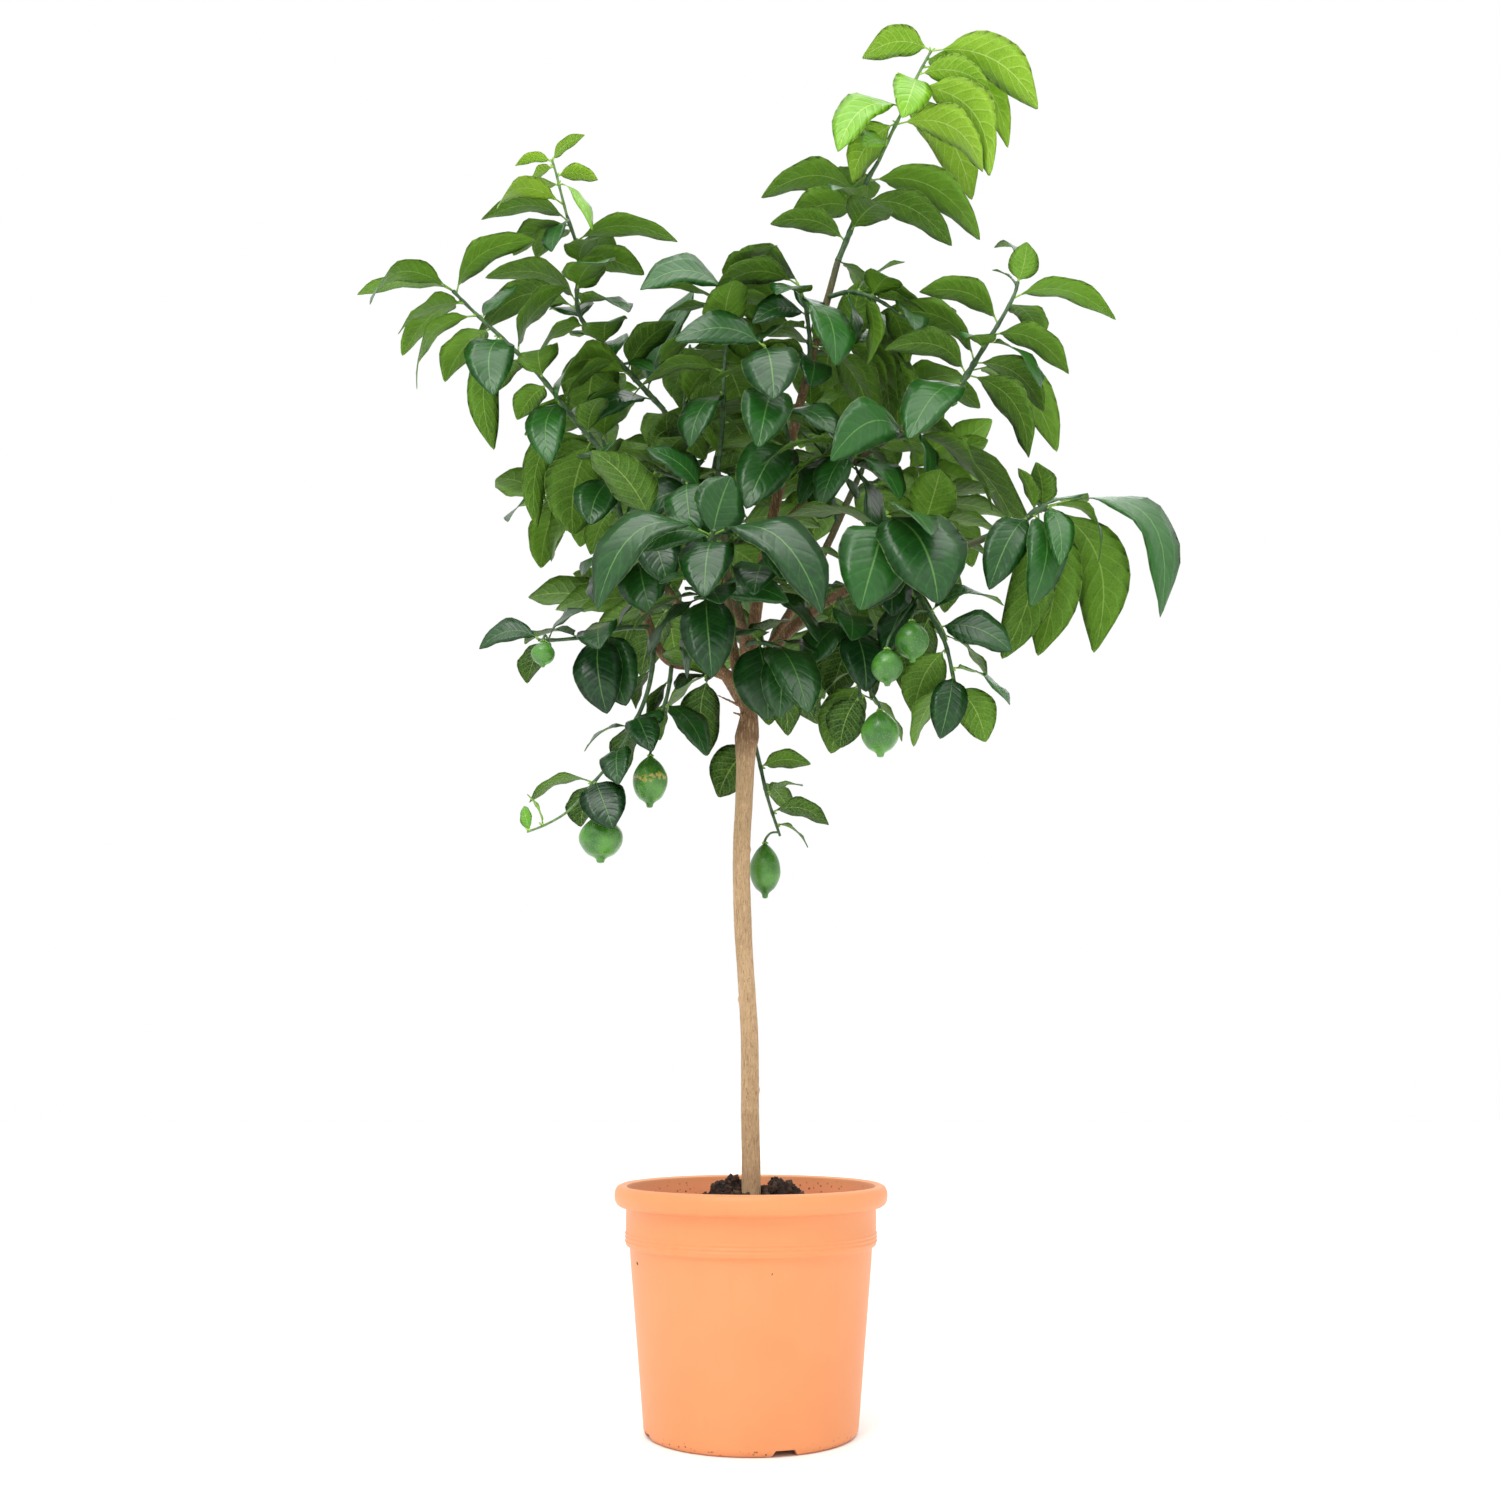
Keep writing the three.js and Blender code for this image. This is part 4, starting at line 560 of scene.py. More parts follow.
@dataclass
class Crown:
    """The crown: every shoot and leaf, clear of one another. Sizes in mm.

    Once the solids' leaves stand, steep ones are rolled to the front and extra ones fill the crown: more to a shoot
    whose name doesn't start as in thin, each behind front_face (low_face below low), and above fork or further than
    beside from the trunk.
    """

    rule: LeafRule = field(default_factory=LeafRule)
    room: Clearance = field(default_factory=Clearance)
    shoots: list[GrownShoot] = field(default_factory=list)
    seed: int = 20
    trunk_room: float = 8
    limb_room: float = 3.5
    stem_room: float = 2
    fruit_share: float = 0.75
    back_bow: float = 0.08
    back_radii: Row = (2.8, 1.3)
    back_size: float = 82
    depth_tries: Row = (0, -14, 14, -28, 28, -42, 42, -56, 56, -70, 70)
    thin: tuple[str, ...] = (
        "shoot_leader", "shoot_right_top", "shoot_right_spur", "shoot_left_tip", "shoot_left_low",
        "shoot_left_fruiting", "shoot_left_hang", "shoot_trunk")
    more: int = 9
    more_size: float = 76
    more_reach: float = 3
    roll_reach: float = 2.5
    roll_shares: Row = (0.75, 0.5, 0.3)
    steep: float = 0.7
    front_face: float = -30
    low_face: float = -134
    low: float = 800
    fork: float = 690
    beside: float = 75

    def fill_room(self) -> None:
        """Takes up the room of the wood, the stems and the fruit."""
        lines = [*((VIEW.line(rows), self.limb_room) for rows in LIMBS), (VIEW.line(TRUNK_PATH), self.trunk_room)]
        for line, radius in [*lines, *((shoot.points, self.stem_room) for shoot in self.shoots)]:
            for start, end in zip(line, line[1:]):
                steps = math.ceil(norm(end - start) / self.room.step)
                share = (np.arange(steps + 1) / steps)[:, None]
                self.room.add(start * (1 - share) + end * share, radius)
        for lemon in LEMONS:
            middles = [VIEW.place(lemon.at) + UP * (rise * lemon.half[1]) for rise in (-0.5, 0, 0.5)]
            self.room.add(np.array(middles), lemon.half[0] * self.fruit_share)

    def read_leaf(self, stem: Points, row: Row) -> Leaf | None:
        """Places a leaf that was read from the front view.

        Args:
            stem: the shoot's stem.
            row: the leaf, as in ShootPlan.

        Returns:
            The leaf at the first clear depth, if there is one.
        """
        base_u, base_v, tip_u, tip_v, away, width, rise, turn = row
        base = nearest_on(stem, VIEW.place((base_u, base_v, sum(point[1] for point in stem) / len(stem))))
        for move in self.depth_tries:
            leaf = Leaf.spread(base, VIEW.place((tip_u, tip_v, base[1] + away + move)), width, rise, turn)
            if self.room.is_free(leaf):
                leaf.may_roll = turn == 0 and unit(base - leaf.tip)[2] > self.steep
                return leaf
        return None

    def keep(self, shoot: GrownShoot, leaf: Leaf | None) -> None:
        """Adds a leaf to its shoot.

        Args:
            shoot: the shoot.
            leaf: the leaf, if one was clear.
        """
        if leaf is not None:
            shoot.leaves.append(leaf)
            leaf.room = self.room.add(self.room.spread(leaf))

    def grow(self) -> None:
        """Grows the leaves that were read, then those of the rule, and then the extra ones."""
        self.shoots = [GrownShoot(plan, VIEW.line(plan.stem)) for plan in SHOOTS]
        for name, start, end, count in BACK_SHOOTS:
            first, last = VIEW.line((start, end))
            bowed = first * 0.5 + last * 0.5 + UP * (self.back_bow * norm(last - first))
            plan = ShootPlan(name, self.back_radii, count, self.back_size, (start, end))
            self.shoots.append(GrownShoot(plan, [first, bowed, last]))
        self.fill_room()
        draw = seeded_draws(self.seed)
        for shoot in self.shoots:
            for row in shoot.plan.leaves:
                self.keep(shoot, self.read_leaf(shoot.points, row))
        for shoot in self.shoots:
            for i in range(shoot.plan.rule):
                self.keep(shoot, self.rule.grow(shoot.points, i, shoot.plan.rule, shoot.plan.size, draw, self.room))
        self.face_front()
        self.thicken()
        LOG.info("crown: %d shoots, %d leaves", len(self.shoots), sum(len(shoot.leaves) for shoot in self.shoots))

    def face_front(self) -> None:
        """Rolls steep leaves until the front view sees the width that it gave them."""
        eye = np.array((0, -VIEW.distance, VIEW.eye))
        self.room.reach = self.roll_reach
        for shoot in self.shoots:
            for i, leaf in enumerate(shoot.leaves):
                own = slice(*leaf.room)
                full = unit(np.cross(unit(leaf.tip - leaf.base), leaf.middle - eye))
                full = full * math.copysign(1, full @ leaf.side)
                for share in self.roll_shares if leaf.may_roll else ():
                    faced = replace(leaf, side=unit(leaf.side * (1 - share) + full * share))
                    self.room.radii[own] = -math.inf
                    if self.room.is_free(faced):
                        faced.room = self.room.add(self.room.spread(faced))
                        shoot.leaves[i] = faced
                        break
                    self.room.radii[own] = 0

    def thicken(self) -> None:
        """Adds the extra leaves between the others."""
        draw = seeded_draws(self.seed + 1)
        self.room.reach = self.more_reach
        for shoot in self.shoots:
            for i in range(0 if shoot.plan.name.startswith(self.thin) else self.more):
                leaf = self.rule.grow(shoot.points, i, self.more, self.more_size, draw, self.room)
                if leaf is not None and self.is_hidden(leaf):
                    self.keep(shoot, leaf)

    def is_hidden(self, leaf: Leaf) -> bool:
        """Whether a leaf stands behind the crown's front face and leaves the trunk's head in sight."""
        face = self.low_face if leaf.middle[2] < self.low else self.front_face
        return leaf.middle[1] > face and (leaf.tip[2] > self.fork or abs(leaf.tip[0]) > self.beside)


# ---- writing node trees

@dataclass(frozen=True)
class Field:
    """A number, vector or colour that flows through a node tree, with the arithmetic that formulas need."""

    writer: NodeWriter
    socket: NodeSocket

    def by(self, operation: str, *others: Field | Row | float) -> Field:
        """Works out a formula of this and other values: of vectors, where one of them is a vector.

        Args:
            operation: the formula's name.
            others: the other values.

        Returns:
            The result.
        """
        values = (self, *others)
        vectors = any(getattr(value, "socket", self.socket).type in {"VECTOR", "RGBA"} for value in values)
        node = self.writer.node("ShaderNodeVectorMath" if vectors else "ShaderNodeMath", operation=operation)
        for socket, value in zip(node.inputs, values):
            self.writer.feed(socket, (value,) * 3 if vectors and isinstance(value, (int, float)) else value)
        return self.writer.out(node)

    def __add__(self, other: Field | float) -> Field:
        """The sum."""
        return self.by("ADD", other)

    def __sub__(self, other: Field | float) -> Field:
        """The difference."""
        return self.by("SUBTRACT", other)

    def __rsub__(self, other: float) -> Field:
        """A number less this."""
        return self * -1 + other

    def __mul__(self, other: Field | float) -> Field:
        """The product; a number scales a vector."""
        return self.by("MULTIPLY", other)

    def __pow__(self, power: Field | float) -> Field:
        """This to a power."""
        return self.by("POWER", power)

    def step(self, start: float, end: float) -> Field:
        """Makes a smooth step, which falls where end is below start.

        Args:
            start: where it is 0.
            end: where it is 1.

        Returns:
            The step.
        """
        return self.writer.add("ShaderNodeMapRange", {
            "Value": self, "From Min": min(start, end), "From Max": max(start, end), "To Min": float(start > end),
            "To Max": float(end > start)}, interpolation_type="SMOOTHSTEP")


class NodeWriter:
    """Adds nodes to a tree and links them."""

    def __init__(self, tree: NodeTree) -> None:
        """Writes into a tree."""
        self.tree = tree

    def node(self, kind: str, inputs: dict[str, Any] | None = None, **settings: Any) -> Node:
        """Adds a node.

        Args:
            kind: its type.
            inputs: fields or plain values for its named sockets.
            settings: its properties.

        Returns:
            The node.
        """
        node = self.tree.nodes.new(kind)
        for name, value in settings.items():
            setattr(node, name, value)
        for name, value in (inputs or {}).items():
            self.feed(next(socket for socket in node.inputs if socket.enabled and socket.name == name), value)
        return node

    def add(self, kind: str, inputs: dict[str, Any] | None = None, out: str = "", **settings: Any) -> Field:
        """Adds a node and gives its first output, or the one that is named."""
        return self.out(self.node(kind, inputs, **settings), out)

    def feed(self, socket: NodeSocket, value: Any) -> None:
        """Links a field to a socket, or sets the socket's own value.

        Args:
            socket: the socket.
            value: the field or value.
        """
        if isinstance(value, Field):
            self.tree.links.new(value.socket, socket)
        else:
            socket.default_value = value

    def out(self, node: Node, name: str = "") -> Field:
        """A node's first output, or the one that is named."""
        return Field(self, next(out for out in node.outputs if out.enabled and name in ("", out.name)))

    def split(self, vector: Field) -> list[Field]:
        """The three parts of a vector."""
        return [Field(self, out) for out in self.node("ShaderNodeSeparateXYZ", {"Vector": vector}).outputs]

    def combine(self, x: Field | float, y: Field | float, z: Field | float) -> Field:
        """A vector of three parts."""
        return self.add("ShaderNodeCombineXYZ", {"X": x, "Y": y, "Z": z})


class GrowthTree(NodeWriter):
    """A Geometry Nodes tree with named inputs, whose result is kept as a plain mesh."""

    def __init__(self, name: str, inputs: dict[str, int | float | str]) -> None:
        """Starts a tree.

        Args:
            name: its name.
            inputs: its named inputs, each with a default or its kind.
        """
        super().__init__(bpy.data.node_groups.new(name, "GeometryNodeTree"))
        self.sockets: dict[str, str] = {}
        self.tree.interface.new_socket("Geometry", in_out="OUTPUT", socket_type="NodeSocketGeometry")
        for label, given in {"Geometry": "Geometry", **inputs}.items():
            kind = given if isinstance(given, str) else type(given).__name__.title()
            socket = self.tree.interface.new_socket(label, in_out="INPUT", socket_type=f"NodeSocket{kind}")
            if kind != given:
                socket.default_value = given
            self.sockets[label] = socket.identifier
        self.given = {out.name: Field(self, out) for out in self.node("NodeGroupInput").outputs}
        self.host = self.given["Geometry"]

    def attribute(self, name: str, kind: str = "FLOAT") -> Field:
        """A named attribute of the geometry."""
        return self.add("GeometryNodeInputNamedAttribute", {"Name": name}, data_type=kind)

    def dress(self, geometry: Field, material: str, selection: Field | bool = True) -> Field:
        """Gives the material of a named input to all or some faces."""
        return self.add("GeometryNodeSetMaterial",
                        {"Geometry": geometry, "Material": self.given[material], "Selection": selection})

    def merge(self, *parts: Field) -> Field:
        """Merges geometries.

        Args:
            parts: the geometries.

        Returns:
            All of them as one.
        """
        node = self.node("GeometryNodeJoinGeometry")
        for part in reversed(parts):
            self.tree.links.new(part.socket, node.inputs[0])
        return self.out(node)

    def realize(self, geometry: Field) -> Field:
        """Instances made real."""
        return self.add("GeometryNodeRealizeInstances", {"Geometry": geometry})

    def finish(self, geometry: Field) -> None:
        """Realizes the instances, shades the faces smooth and ends the tree."""
        shaded = self.add("GeometryNodeSetShadeSmooth", {"Geometry": self.realize(geometry)})
        self.feed(self.node("NodeGroupOutput").inputs[0], shaded)

    def run(self, host: Object, values: dict[str, Any]) -> None:
        """Grows the tree on a host, which keeps the result as its plain mesh.

        Args:
            host: the host.
            values: the values of named inputs.
        """
        modifier = host.modifiers.new("growth", "NODES")
        modifier.node_group = self.tree
        for name, value in values.items():
            modifier[self.sockets[name]] = value
        apply_modifiers(host)


# ---- meshes

def joined(parts: Sequence[Shell]) -> Shell:
    """Joins several shells.

    Args:
        parts: the points and the faces of each.

    Returns:
        All of them as one.
    """
    starts = np.cumsum([0, *(len(points) for points, _ in parts)]).tolist()
    faces = [[i + start for i in face] for start, (_, part) in zip(starts, parts) for face in part]
    return np.vstack([points for points, _ in parts]), faces


def new_object(name: str, points: Points, faces: Faces = (), edges: Faces = ()) -> Object:
    """Makes a smooth mesh object.

    Args:
        name: its name.
        points: its places in mm.
        faces: its faces, as numbers of points.
        edges: its loose edges.

    Returns:
        The object, in metres.
    """
    mesh = bpy.data.meshes.new(name)
    mesh.from_pydata((points * MM).tolist(), edges, faces)
    mesh.shade_smooth()
    made = bpy.data.objects.new(name, mesh)
    bpy.context.scene.collection.objects.link(made)
    return made


def places_of(mesh: Mesh, kind: str = "co") -> Points:
    """The places of a mesh's points in metres, or another vector that they have."""
    return np.array([getattr(point, kind) for point in mesh.vertices])


def ring_faces(rings: int, sides: int, closed: bool = True) -> Faces:
    """Lays faces between rings of points.

    Args:
        rings: how many rings there are.
        sides: how many points each has.
        closed: whether the ends are covered.

    Returns:
        The faces, outward where the rings turn anticlockwise about their way.
    """
    faces = [(i * sides + k, i * sides + (k + 1) % sides, (i + 1) * sides + (k + 1) % sides, (i + 1) * sides + k)
             for i in range(rings - 1) for k in range(sides)]
    if closed:
        faces += [tuple(reversed(range(sides))), tuple(range((rings - 1) * sides, rings * sides))]
    return faces


def lathe(profile: Sequence[Row], segments: int) -> Shell:
    """Turns a profile round the Z axis.

    Args:
        profile: (radius, z) from axis to axis, up the outside.
        segments: how many segments the turn has.

    Returns:
        The closed shell.
    """
    turn = np.arange(segments) * 2 * math.pi / segments
    points = [np.stack((radius * np.cos(turn), radius * np.sin(turn), np.full(segments, z)), 1)
              for radius, z in profile[1:-1]]
    ends = np.array([(0, 0, profile[0][1]), (0, 0, profile[-1][1])], float)
    faces = ring_faces(len(points), segments, closed=False)
    first, base = len(points) * segments, (len(points) - 1) * segments
    for k in range(segments):
        following = (k + 1) % segments
        faces += [(first, following, k), (first + 1, base + k, base + following)]
    return np.vstack(points + [ends]), faces


def smooth_path(points: Sequence[Point], values: Sequence[float], spacing: float) -> Path:
    """Draws a smooth curve through places.

    Args:
        points: the places.
        values: a radius at each.
        spacing: the length of the curve's steps.

    Returns:
        The curve and its radii.
    """
    places = np.array(points, float)
    lengths = np.linalg.norm(np.diff(places, axis=0), axis=1)
    slopes = np.diff(places, axis=0) / lengths[:, None]
    tangents = np.vstack((slopes[:1], (slopes[:-1] + slopes[1:]) / 2, slopes[-1:]))
    curve, carried = [places[:1]], [np.array(values[:1], float)]
    for i, length in enumerate(lengths):
        steps = max(2, math.ceil(length / spacing))
        s = (np.arange(1, steps + 1) / steps)[:, None]
        curve.append(places[i] * (2 * s ** 3 - 3 * s ** 2 + 1) + tangents[i] * length * (s ** 3 - 2 * s ** 2 + s)
                     + places[i + 1] * (3 * s ** 2 - 2 * s ** 3) + tangents[i + 1] * length * (s ** 3 - s ** 2))
        carried.append(values[i] + (values[i + 1] - values[i]) * s[:, 0])
    return np.vstack(curve), np.concatenate(carried)


def tube(path: Points, radii: Numbers, sides: int) -> Shell:
    """Makes a closed round tube.

    Args:
        path: its path.
        radii: its radius along the path.
        sides: how many sides it has.

    Returns:
        The shell.
    """
    across = np.array((1.0, 0, 0)) if abs(unit(path[1] - path[0])[0]) < 0.8 else np.array((0, 1.0, 0))
    turn = np.arange(sides) * 2 * math.pi / sides
    rings = []
    for i, place in enumerate(path):
        heading = unit(path[min(i + 1, len(path) - 1)] - path[max(i - 1, 0)])
        across = unit(across - heading * (across @ heading))
        second = np.cross(heading, across)
        rings.append(place + radii[i] * (np.outer(np.cos(turn), across) + np.outer(np.sin(turn), second)))
    return np.vstack(rings), ring_faces(len(rings), sides)


def set_attribute(mesh: Mesh, name: str, values: Points, domain: str = "POINT") -> None:
    """Stores a number or a vector for each point or face under a name."""
    kind, key = ("FLOAT_VECTOR", "vector") if np.ndim(values) == 2 else ("FLOAT", "value")
    mesh.attributes.new(name, kind, domain).data.foreach_set(key, np.asarray(values, np.float32).ravel())


def apply_modifiers(piece: Object) -> None:
    """Turns a piece and its modifiers into a plain mesh.

    Args:
        piece: the piece.
    """
    graph = bpy.context.evaluated_depsgraph_get()
    mesh = bpy.data.meshes.new_from_object(
        piece.evaluated_get(graph), preserve_all_data_layers=True, depsgraph=graph)
    piece.modifiers.clear()
    old, piece.data = piece.data, mesh
    bpy.data.meshes.remove(old)
    mesh.name = piece.name


def fit_to_frame(piece: Object, slot: str, node: str, *finishes: Finish) -> None:
    """Dresses a piece and lets it stand for a solid.

    Args:
        piece: the piece.
        slot: not used.
        node: the solid that it replaces.
        finishes: its finishes, where it has none yet.
    """
    for finish in finishes:
        piece.data.materials.append(finish.material())
    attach(piece, BODY)
    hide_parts(node)
    LOG.info("%s: %d faces", piece.name, len(piece.data.polygons))


# ---- finishes

def linear(code: str) -> Row:
    """A colour as it is seen, in hex, as the linear colour that a shader takes."""
    seen = [int(code[i:i + 2], 16) / 255 for i in (0, 2, 4)]
    return (*(part / 12.92 if part <= 0.04045 else ((part + 0.055) / 1.055) ** 2.4 for part in seen), 1.0)


@dataclass(frozen=True)
class Cloud:
    """Cloudy noise: its scale per metre, its detail, and how it is stretched where a share is below 1."""

    scale: float
    detail: float = 3
    roughness: float = 0.5
    distortion: float = 0
    stretch: Row = (1, 1, 1)


class Painter(NodeWriter):
    """Writes the shader of one finish."""

    def __init__(self, name: str, **sockets: float) -> None:
        """Starts a material.

        Args:
            name: its name.
            sockets: its shader's plain values, such as Roughness or Coat_Weight.
        """
        self.material = bpy.data.materials.new(name)
        self.material.use_nodes = True
        super().__init__(self.material.node_tree)
        self.shader = self.tree.nodes["Principled BSDF"]
        self.place = self.add("ShaderNodeTexCoord", out="Object")
        for socket, value in sockets.items():
            self.shader.inputs[socket.replace("_", " ")].default_value = value

    def cloud(self, kind: Cloud) -> Field:
        """Lays cloudy noise over the object.

        Args:
            kind: how it looks.

        Returns:
            The noise, from 0 to 1.
        """
        return self.add("ShaderNodeTexNoise", {
            "Vector": self.place * kind.stretch, "Scale": kind.scale, "Detail": kind.detail,
            "Roughness": kind.roughness, "Distortion": kind.distortion})

    def cells(self, scale: float, stretch: Row = (1, 1, 1), feature: str = "F1") -> Field:
        """Distances in a pattern of cells over the object."""
        return self.add("ShaderNodeTexVoronoi", {"Vector": self.place * stretch, "Scale": scale}, "Distance",
                        feature=feature)

    def attribute(self, name: str) -> Field:
        """A number that the mesh carries."""
        return self.add("ShaderNodeAttribute", out="Fac", attribute_name=name)

    def mix(self, share: Field | float, first: Field | str, second: str) -> Field:
        """Mixes two colours.

        Args:
            share: the share of the second.
            first: a field, or a colour in hex.
            second: a colour in hex.

        Returns:
            The mixed colour.
        """
        return self.add("ShaderNodeMix", {
            "Factor": share, "A": linear(first) if isinstance(first, str) else first, "B": linear(second)},
            "Result", data_type="RGBA")

    def finish(self, colour: Field, height: Field | None = None, depth: float = 0, strength: float = 0,
              gloss: Field | None = None) -> Material:
        """Ends the shader.

        Args:
            colour: the colour.
            height: the relief, if there is one.
            depth: its depth in mm.
            strength: how strongly it shows.
            gloss: the roughness, where it isn't even.

        Returns:
            The material.
        """
        self.feed(self.shader.inputs["Base Color"], colour)
        if height is not None:
            self.feed(self.shader.inputs["Normal"], self.add(
                "ShaderNodeBump", {"Height": height, "Distance": depth * MM, "Strength": strength}))
        if gloss is not None:
            self.feed(self.shader.inputs["Roughness"], gloss)
        return self.material


@dataclass(frozen=True)
class Finish:
    """A finish of some part of the tree."""

    name: str

    @cache
    def material(self) -> Material:
        """The finish as a material, made once."""
        return self.paint()

    def paint(self) -> Material:
        """Writes the shader."""
        raise NotImplementedError


@dataclass(frozen=True)
class LeafSkin(Finish):
    """One face of the leaves, with its midrib, side veins and pale rim."""

    deep: str
    fresh: str
    vein: str
    midrib: str
    rim: str
    roughness: float
    vein_share: float
    quilting: float
    netting: float = 0.0
    specular: float = 0.42
    midrib_share: float = 0.5
    rim_share: float = 0.55
    vein_pairs: float = 8
    slant: float = 0.24
    bow: float = 1.15
    wobble: Cloud = Cloud(45, 1)
    patches: Cloud = Cloud(70, roughness=0.6)
    mottle: Cloud = Cloud(260, 2)
    net_scale: float = 330

    def paint(self) -> Material:
        """Writes the shader.

        Returns:
            The material.
        """
        p = Painter(self.name, Roughness=self.roughness, Specular_IOR_Level=self.specular)
        t, spread, _ = p.split(p.add("ShaderNodeUVMap", uv_map=LeafBlank.UV_MAP))
        tone, across = p.attribute("tone"), (spread * 2 - 1).by("ABSOLUTE")
        wave = (t - across ** self.bow * self.slant) * self.vein_pairs + p.cloud(self.wobble) * 0.5 + tone * 5
        wave = wave.by("PINGPONG", 0.5)
        vein = wave.step(0.085, 0.02) * across.step(0.98, 0.55) * t.step(0.0, 0.06)
        midrib = across.step(0.042, 0.012)
        patches, mottle = p.cloud(self.patches), p.cloud(self.mottle)
        net = p.cells(self.net_scale, feature="DISTANCE_TO_EDGE").step(0.16, 0.02)
        # Random variation and painted shade: leaves low and inside the crown carry a lower value and mix towards
        # deep.
        colour = p.mix(patches * 0.5 + tone * 0.95 - 0.28, self.deep, self.fresh)
        for share, over in (
                (mottle.step(0.45, 0.75) * 0.12, self.vein), (net * self.netting, self.vein),
                (vein * self.vein_share, self.vein), (midrib * self.midrib_share, self.midrib),
                (across.step(0.955, 0.99) * self.rim_share, self.rim)):
            colour = p.mix(share, colour, over)
        height = wave.step(0.0, 0.3) * self.quilting + midrib * (0.5 if self.quilting < 0 else -0.3)
        height = height + patches * 0.8 + mottle * 0.25
        return p.finish(colour, height, 0.7, 0.55, mottle * 0.16 + (self.roughness - 0.08))


@dataclass(frozen=True)
class StemSkin(Finish):
    """Green stems and leaf stalks, with fine ridges."""

    deep: str
    fresh: str
    roughness: float = 0.5
    patches: Cloud = Cloud(160)
    ridges: Cloud = Cloud(900, 2)

    def paint(self) -> Material:
        """Writes the shader.

        Returns:
            The material.
        """
        p = Painter(self.name, Roughness=self.roughness)
        patches = p.cloud(self.patches)
        colour = p.mix(patches.step(0.3, 0.7), self.deep, self.fresh)
        return p.finish(colour, patches * 0.6 + p.cloud(self.ridges) * 0.4, 0.25, 0.6)


@dataclass(frozen=True)
class Bark(Finish):
    """Bark: straw-brown on the stock, redder above the graft, green on young limbs, with flecks along it."""

    stock: str
    stock_shade: str
    scion: str
    fleck: str
    pale: str
    green: str
    graft: Row
    grain: Cloud = Cloud(700, 4, 0.65, 0.4, (1, 1, 0.16))
    broad: Cloud = Cloud(60, stretch=(1, 1, 0.3))
    flecks: Cloud = Cloud(1300, 2, stretch=(1, 1, 0.2))
    lenticels: float = 330
    lenticel_stretch: Row = (1, 1, 0.55)

    def paint(self) -> Material:
        """Writes the shader.

        Returns:
            The material.
        """
        p = Painter(self.name, Roughness=0.82)
        grain, broad = p.cloud(self.grain), p.cloud(self.broad)
        flecks = p.cloud(self.flecks).step(0.6, 0.7)
        lenticels = p.cells(self.lenticels, self.lenticel_stretch).step(0.2, 0.08)
        above = (p.split(p.place)[2] + (broad - 0.5) * 0.02).step(*self.graft)
        colour = p.mix(broad.step(0.3, 0.7) * 0.7, self.stock, self.stock_shade)
        for share, over in (
                (above * 0.88, self.scion), (grain.step(0.5, 0.72) * 0.5, self.pale),
                (grain.step(0.5, 0.3) * 0.45, self.fleck), (flecks * 0.6, self.fleck),
                (lenticels * 0.5, self.pale), (p.attribute("green") * 0.85, self.green)):
            colour = p.mix(share, colour, over)
        return p.finish(colour, grain * 0.7 + broad * 0.4 - flecks * 0.5 + lenticels * 0.3, 0.5, 0.8)


@dataclass(frozen=True)
class Peat(Finish):
    """Damp fibrous peat."""

    dark: str
    brown: str
    fibre: str
    patches: Cloud = Cloud(160, 5, 0.7)
    strands: Cloud = Cloud(900, 3, distortion=2, stretch=(1, 0.25, 1))

    def paint(self) -> Material:
        """Writes the shader.

        Returns:
            The material.
        """
        p = Painter(self.name, Roughness=0.9)
        patches, strands = p.cloud(self.patches), p.cloud(self.strands).step(0.62, 0.72)
        colour = p.mix(strands * 0.5, p.mix(patches.step(0.35, 0.7), self.dark, self.brown), self.fibre)
        return p.finish(colour, patches * 0.7 + strands * 0.5, 1.2, 0.9)


@dataclass(frozen=True)
class MouldedPlastic(Finish):
    """The pot's satin plastic, with faint flow streaks, specks of peat inside its rim and at its foot, and painted
    light on its inner wall.
    """

    base: str
    shade: str
    # lit: the inner wall's lighter, redder colour, painted light that stands in for light through the plastic.
    lit: str
    speck: str
    rim: float
    inside: Row = (0.1132, 0.1122)
    inside_foot: Row = (0.160, 0.165)
    broad: Cloud = Cloud(9, 3, 0.6)
    streaks: Cloud = Cloud(120, stretch=(1, 1, 0.08))
    fine: Cloud = Cloud(1500, 2)
    speck_patches: Cloud = Cloud(30)
    foot_patches: Cloud = Cloud(40)

    def paint(self) -> Material:
        """Writes the shader.

        Returns:
            The material.
        """
        p = Painter(self.name, Roughness=0.46, Specular_IOR_Level=0.4)
        x, y, z = p.split(p.place)
        streaks, fine = p.cloud(self.streaks), p.cloud(self.fine)
        specks = p.cells(190).step(0.26, 0.14) * p.cloud(self.speck_patches).step(0.47, 0.55)
        foot = z.step(0.011, 0.002) * p.cloud(self.foot_patches).step(0.42, 0.62)
        inside = (x * x + y * y).by("SQRT").step(*self.inside) * z.step(*self.inside_foot)
        inside = inside * z.step(self.rim + 0.002, self.rim - 0.008)
        dirt = (specks * inside).by("MAXIMUM", p.cells(260).step(0.3, 0.15) * foot)
        colour = p.mix(p.cloud(self.broad).step(0.35, 0.75) * 0.45, self.base, self.shade)
        # Painted light: the inner wall under the rim is mixed 0.8 of the way towards lit.
        for share, over in (
                (streaks.step(0.55, 0.8) * 0.18, self.shade), (inside * 0.8, self.lit), (dirt, self.speck)):
            colour = p.mix(share, colour, over)
        return p.finish(colour, fine * 0.25 + streaks * 0.3 + dirt * 0.6, 0.12, 0.5, fine * 0.12 + 0.4)


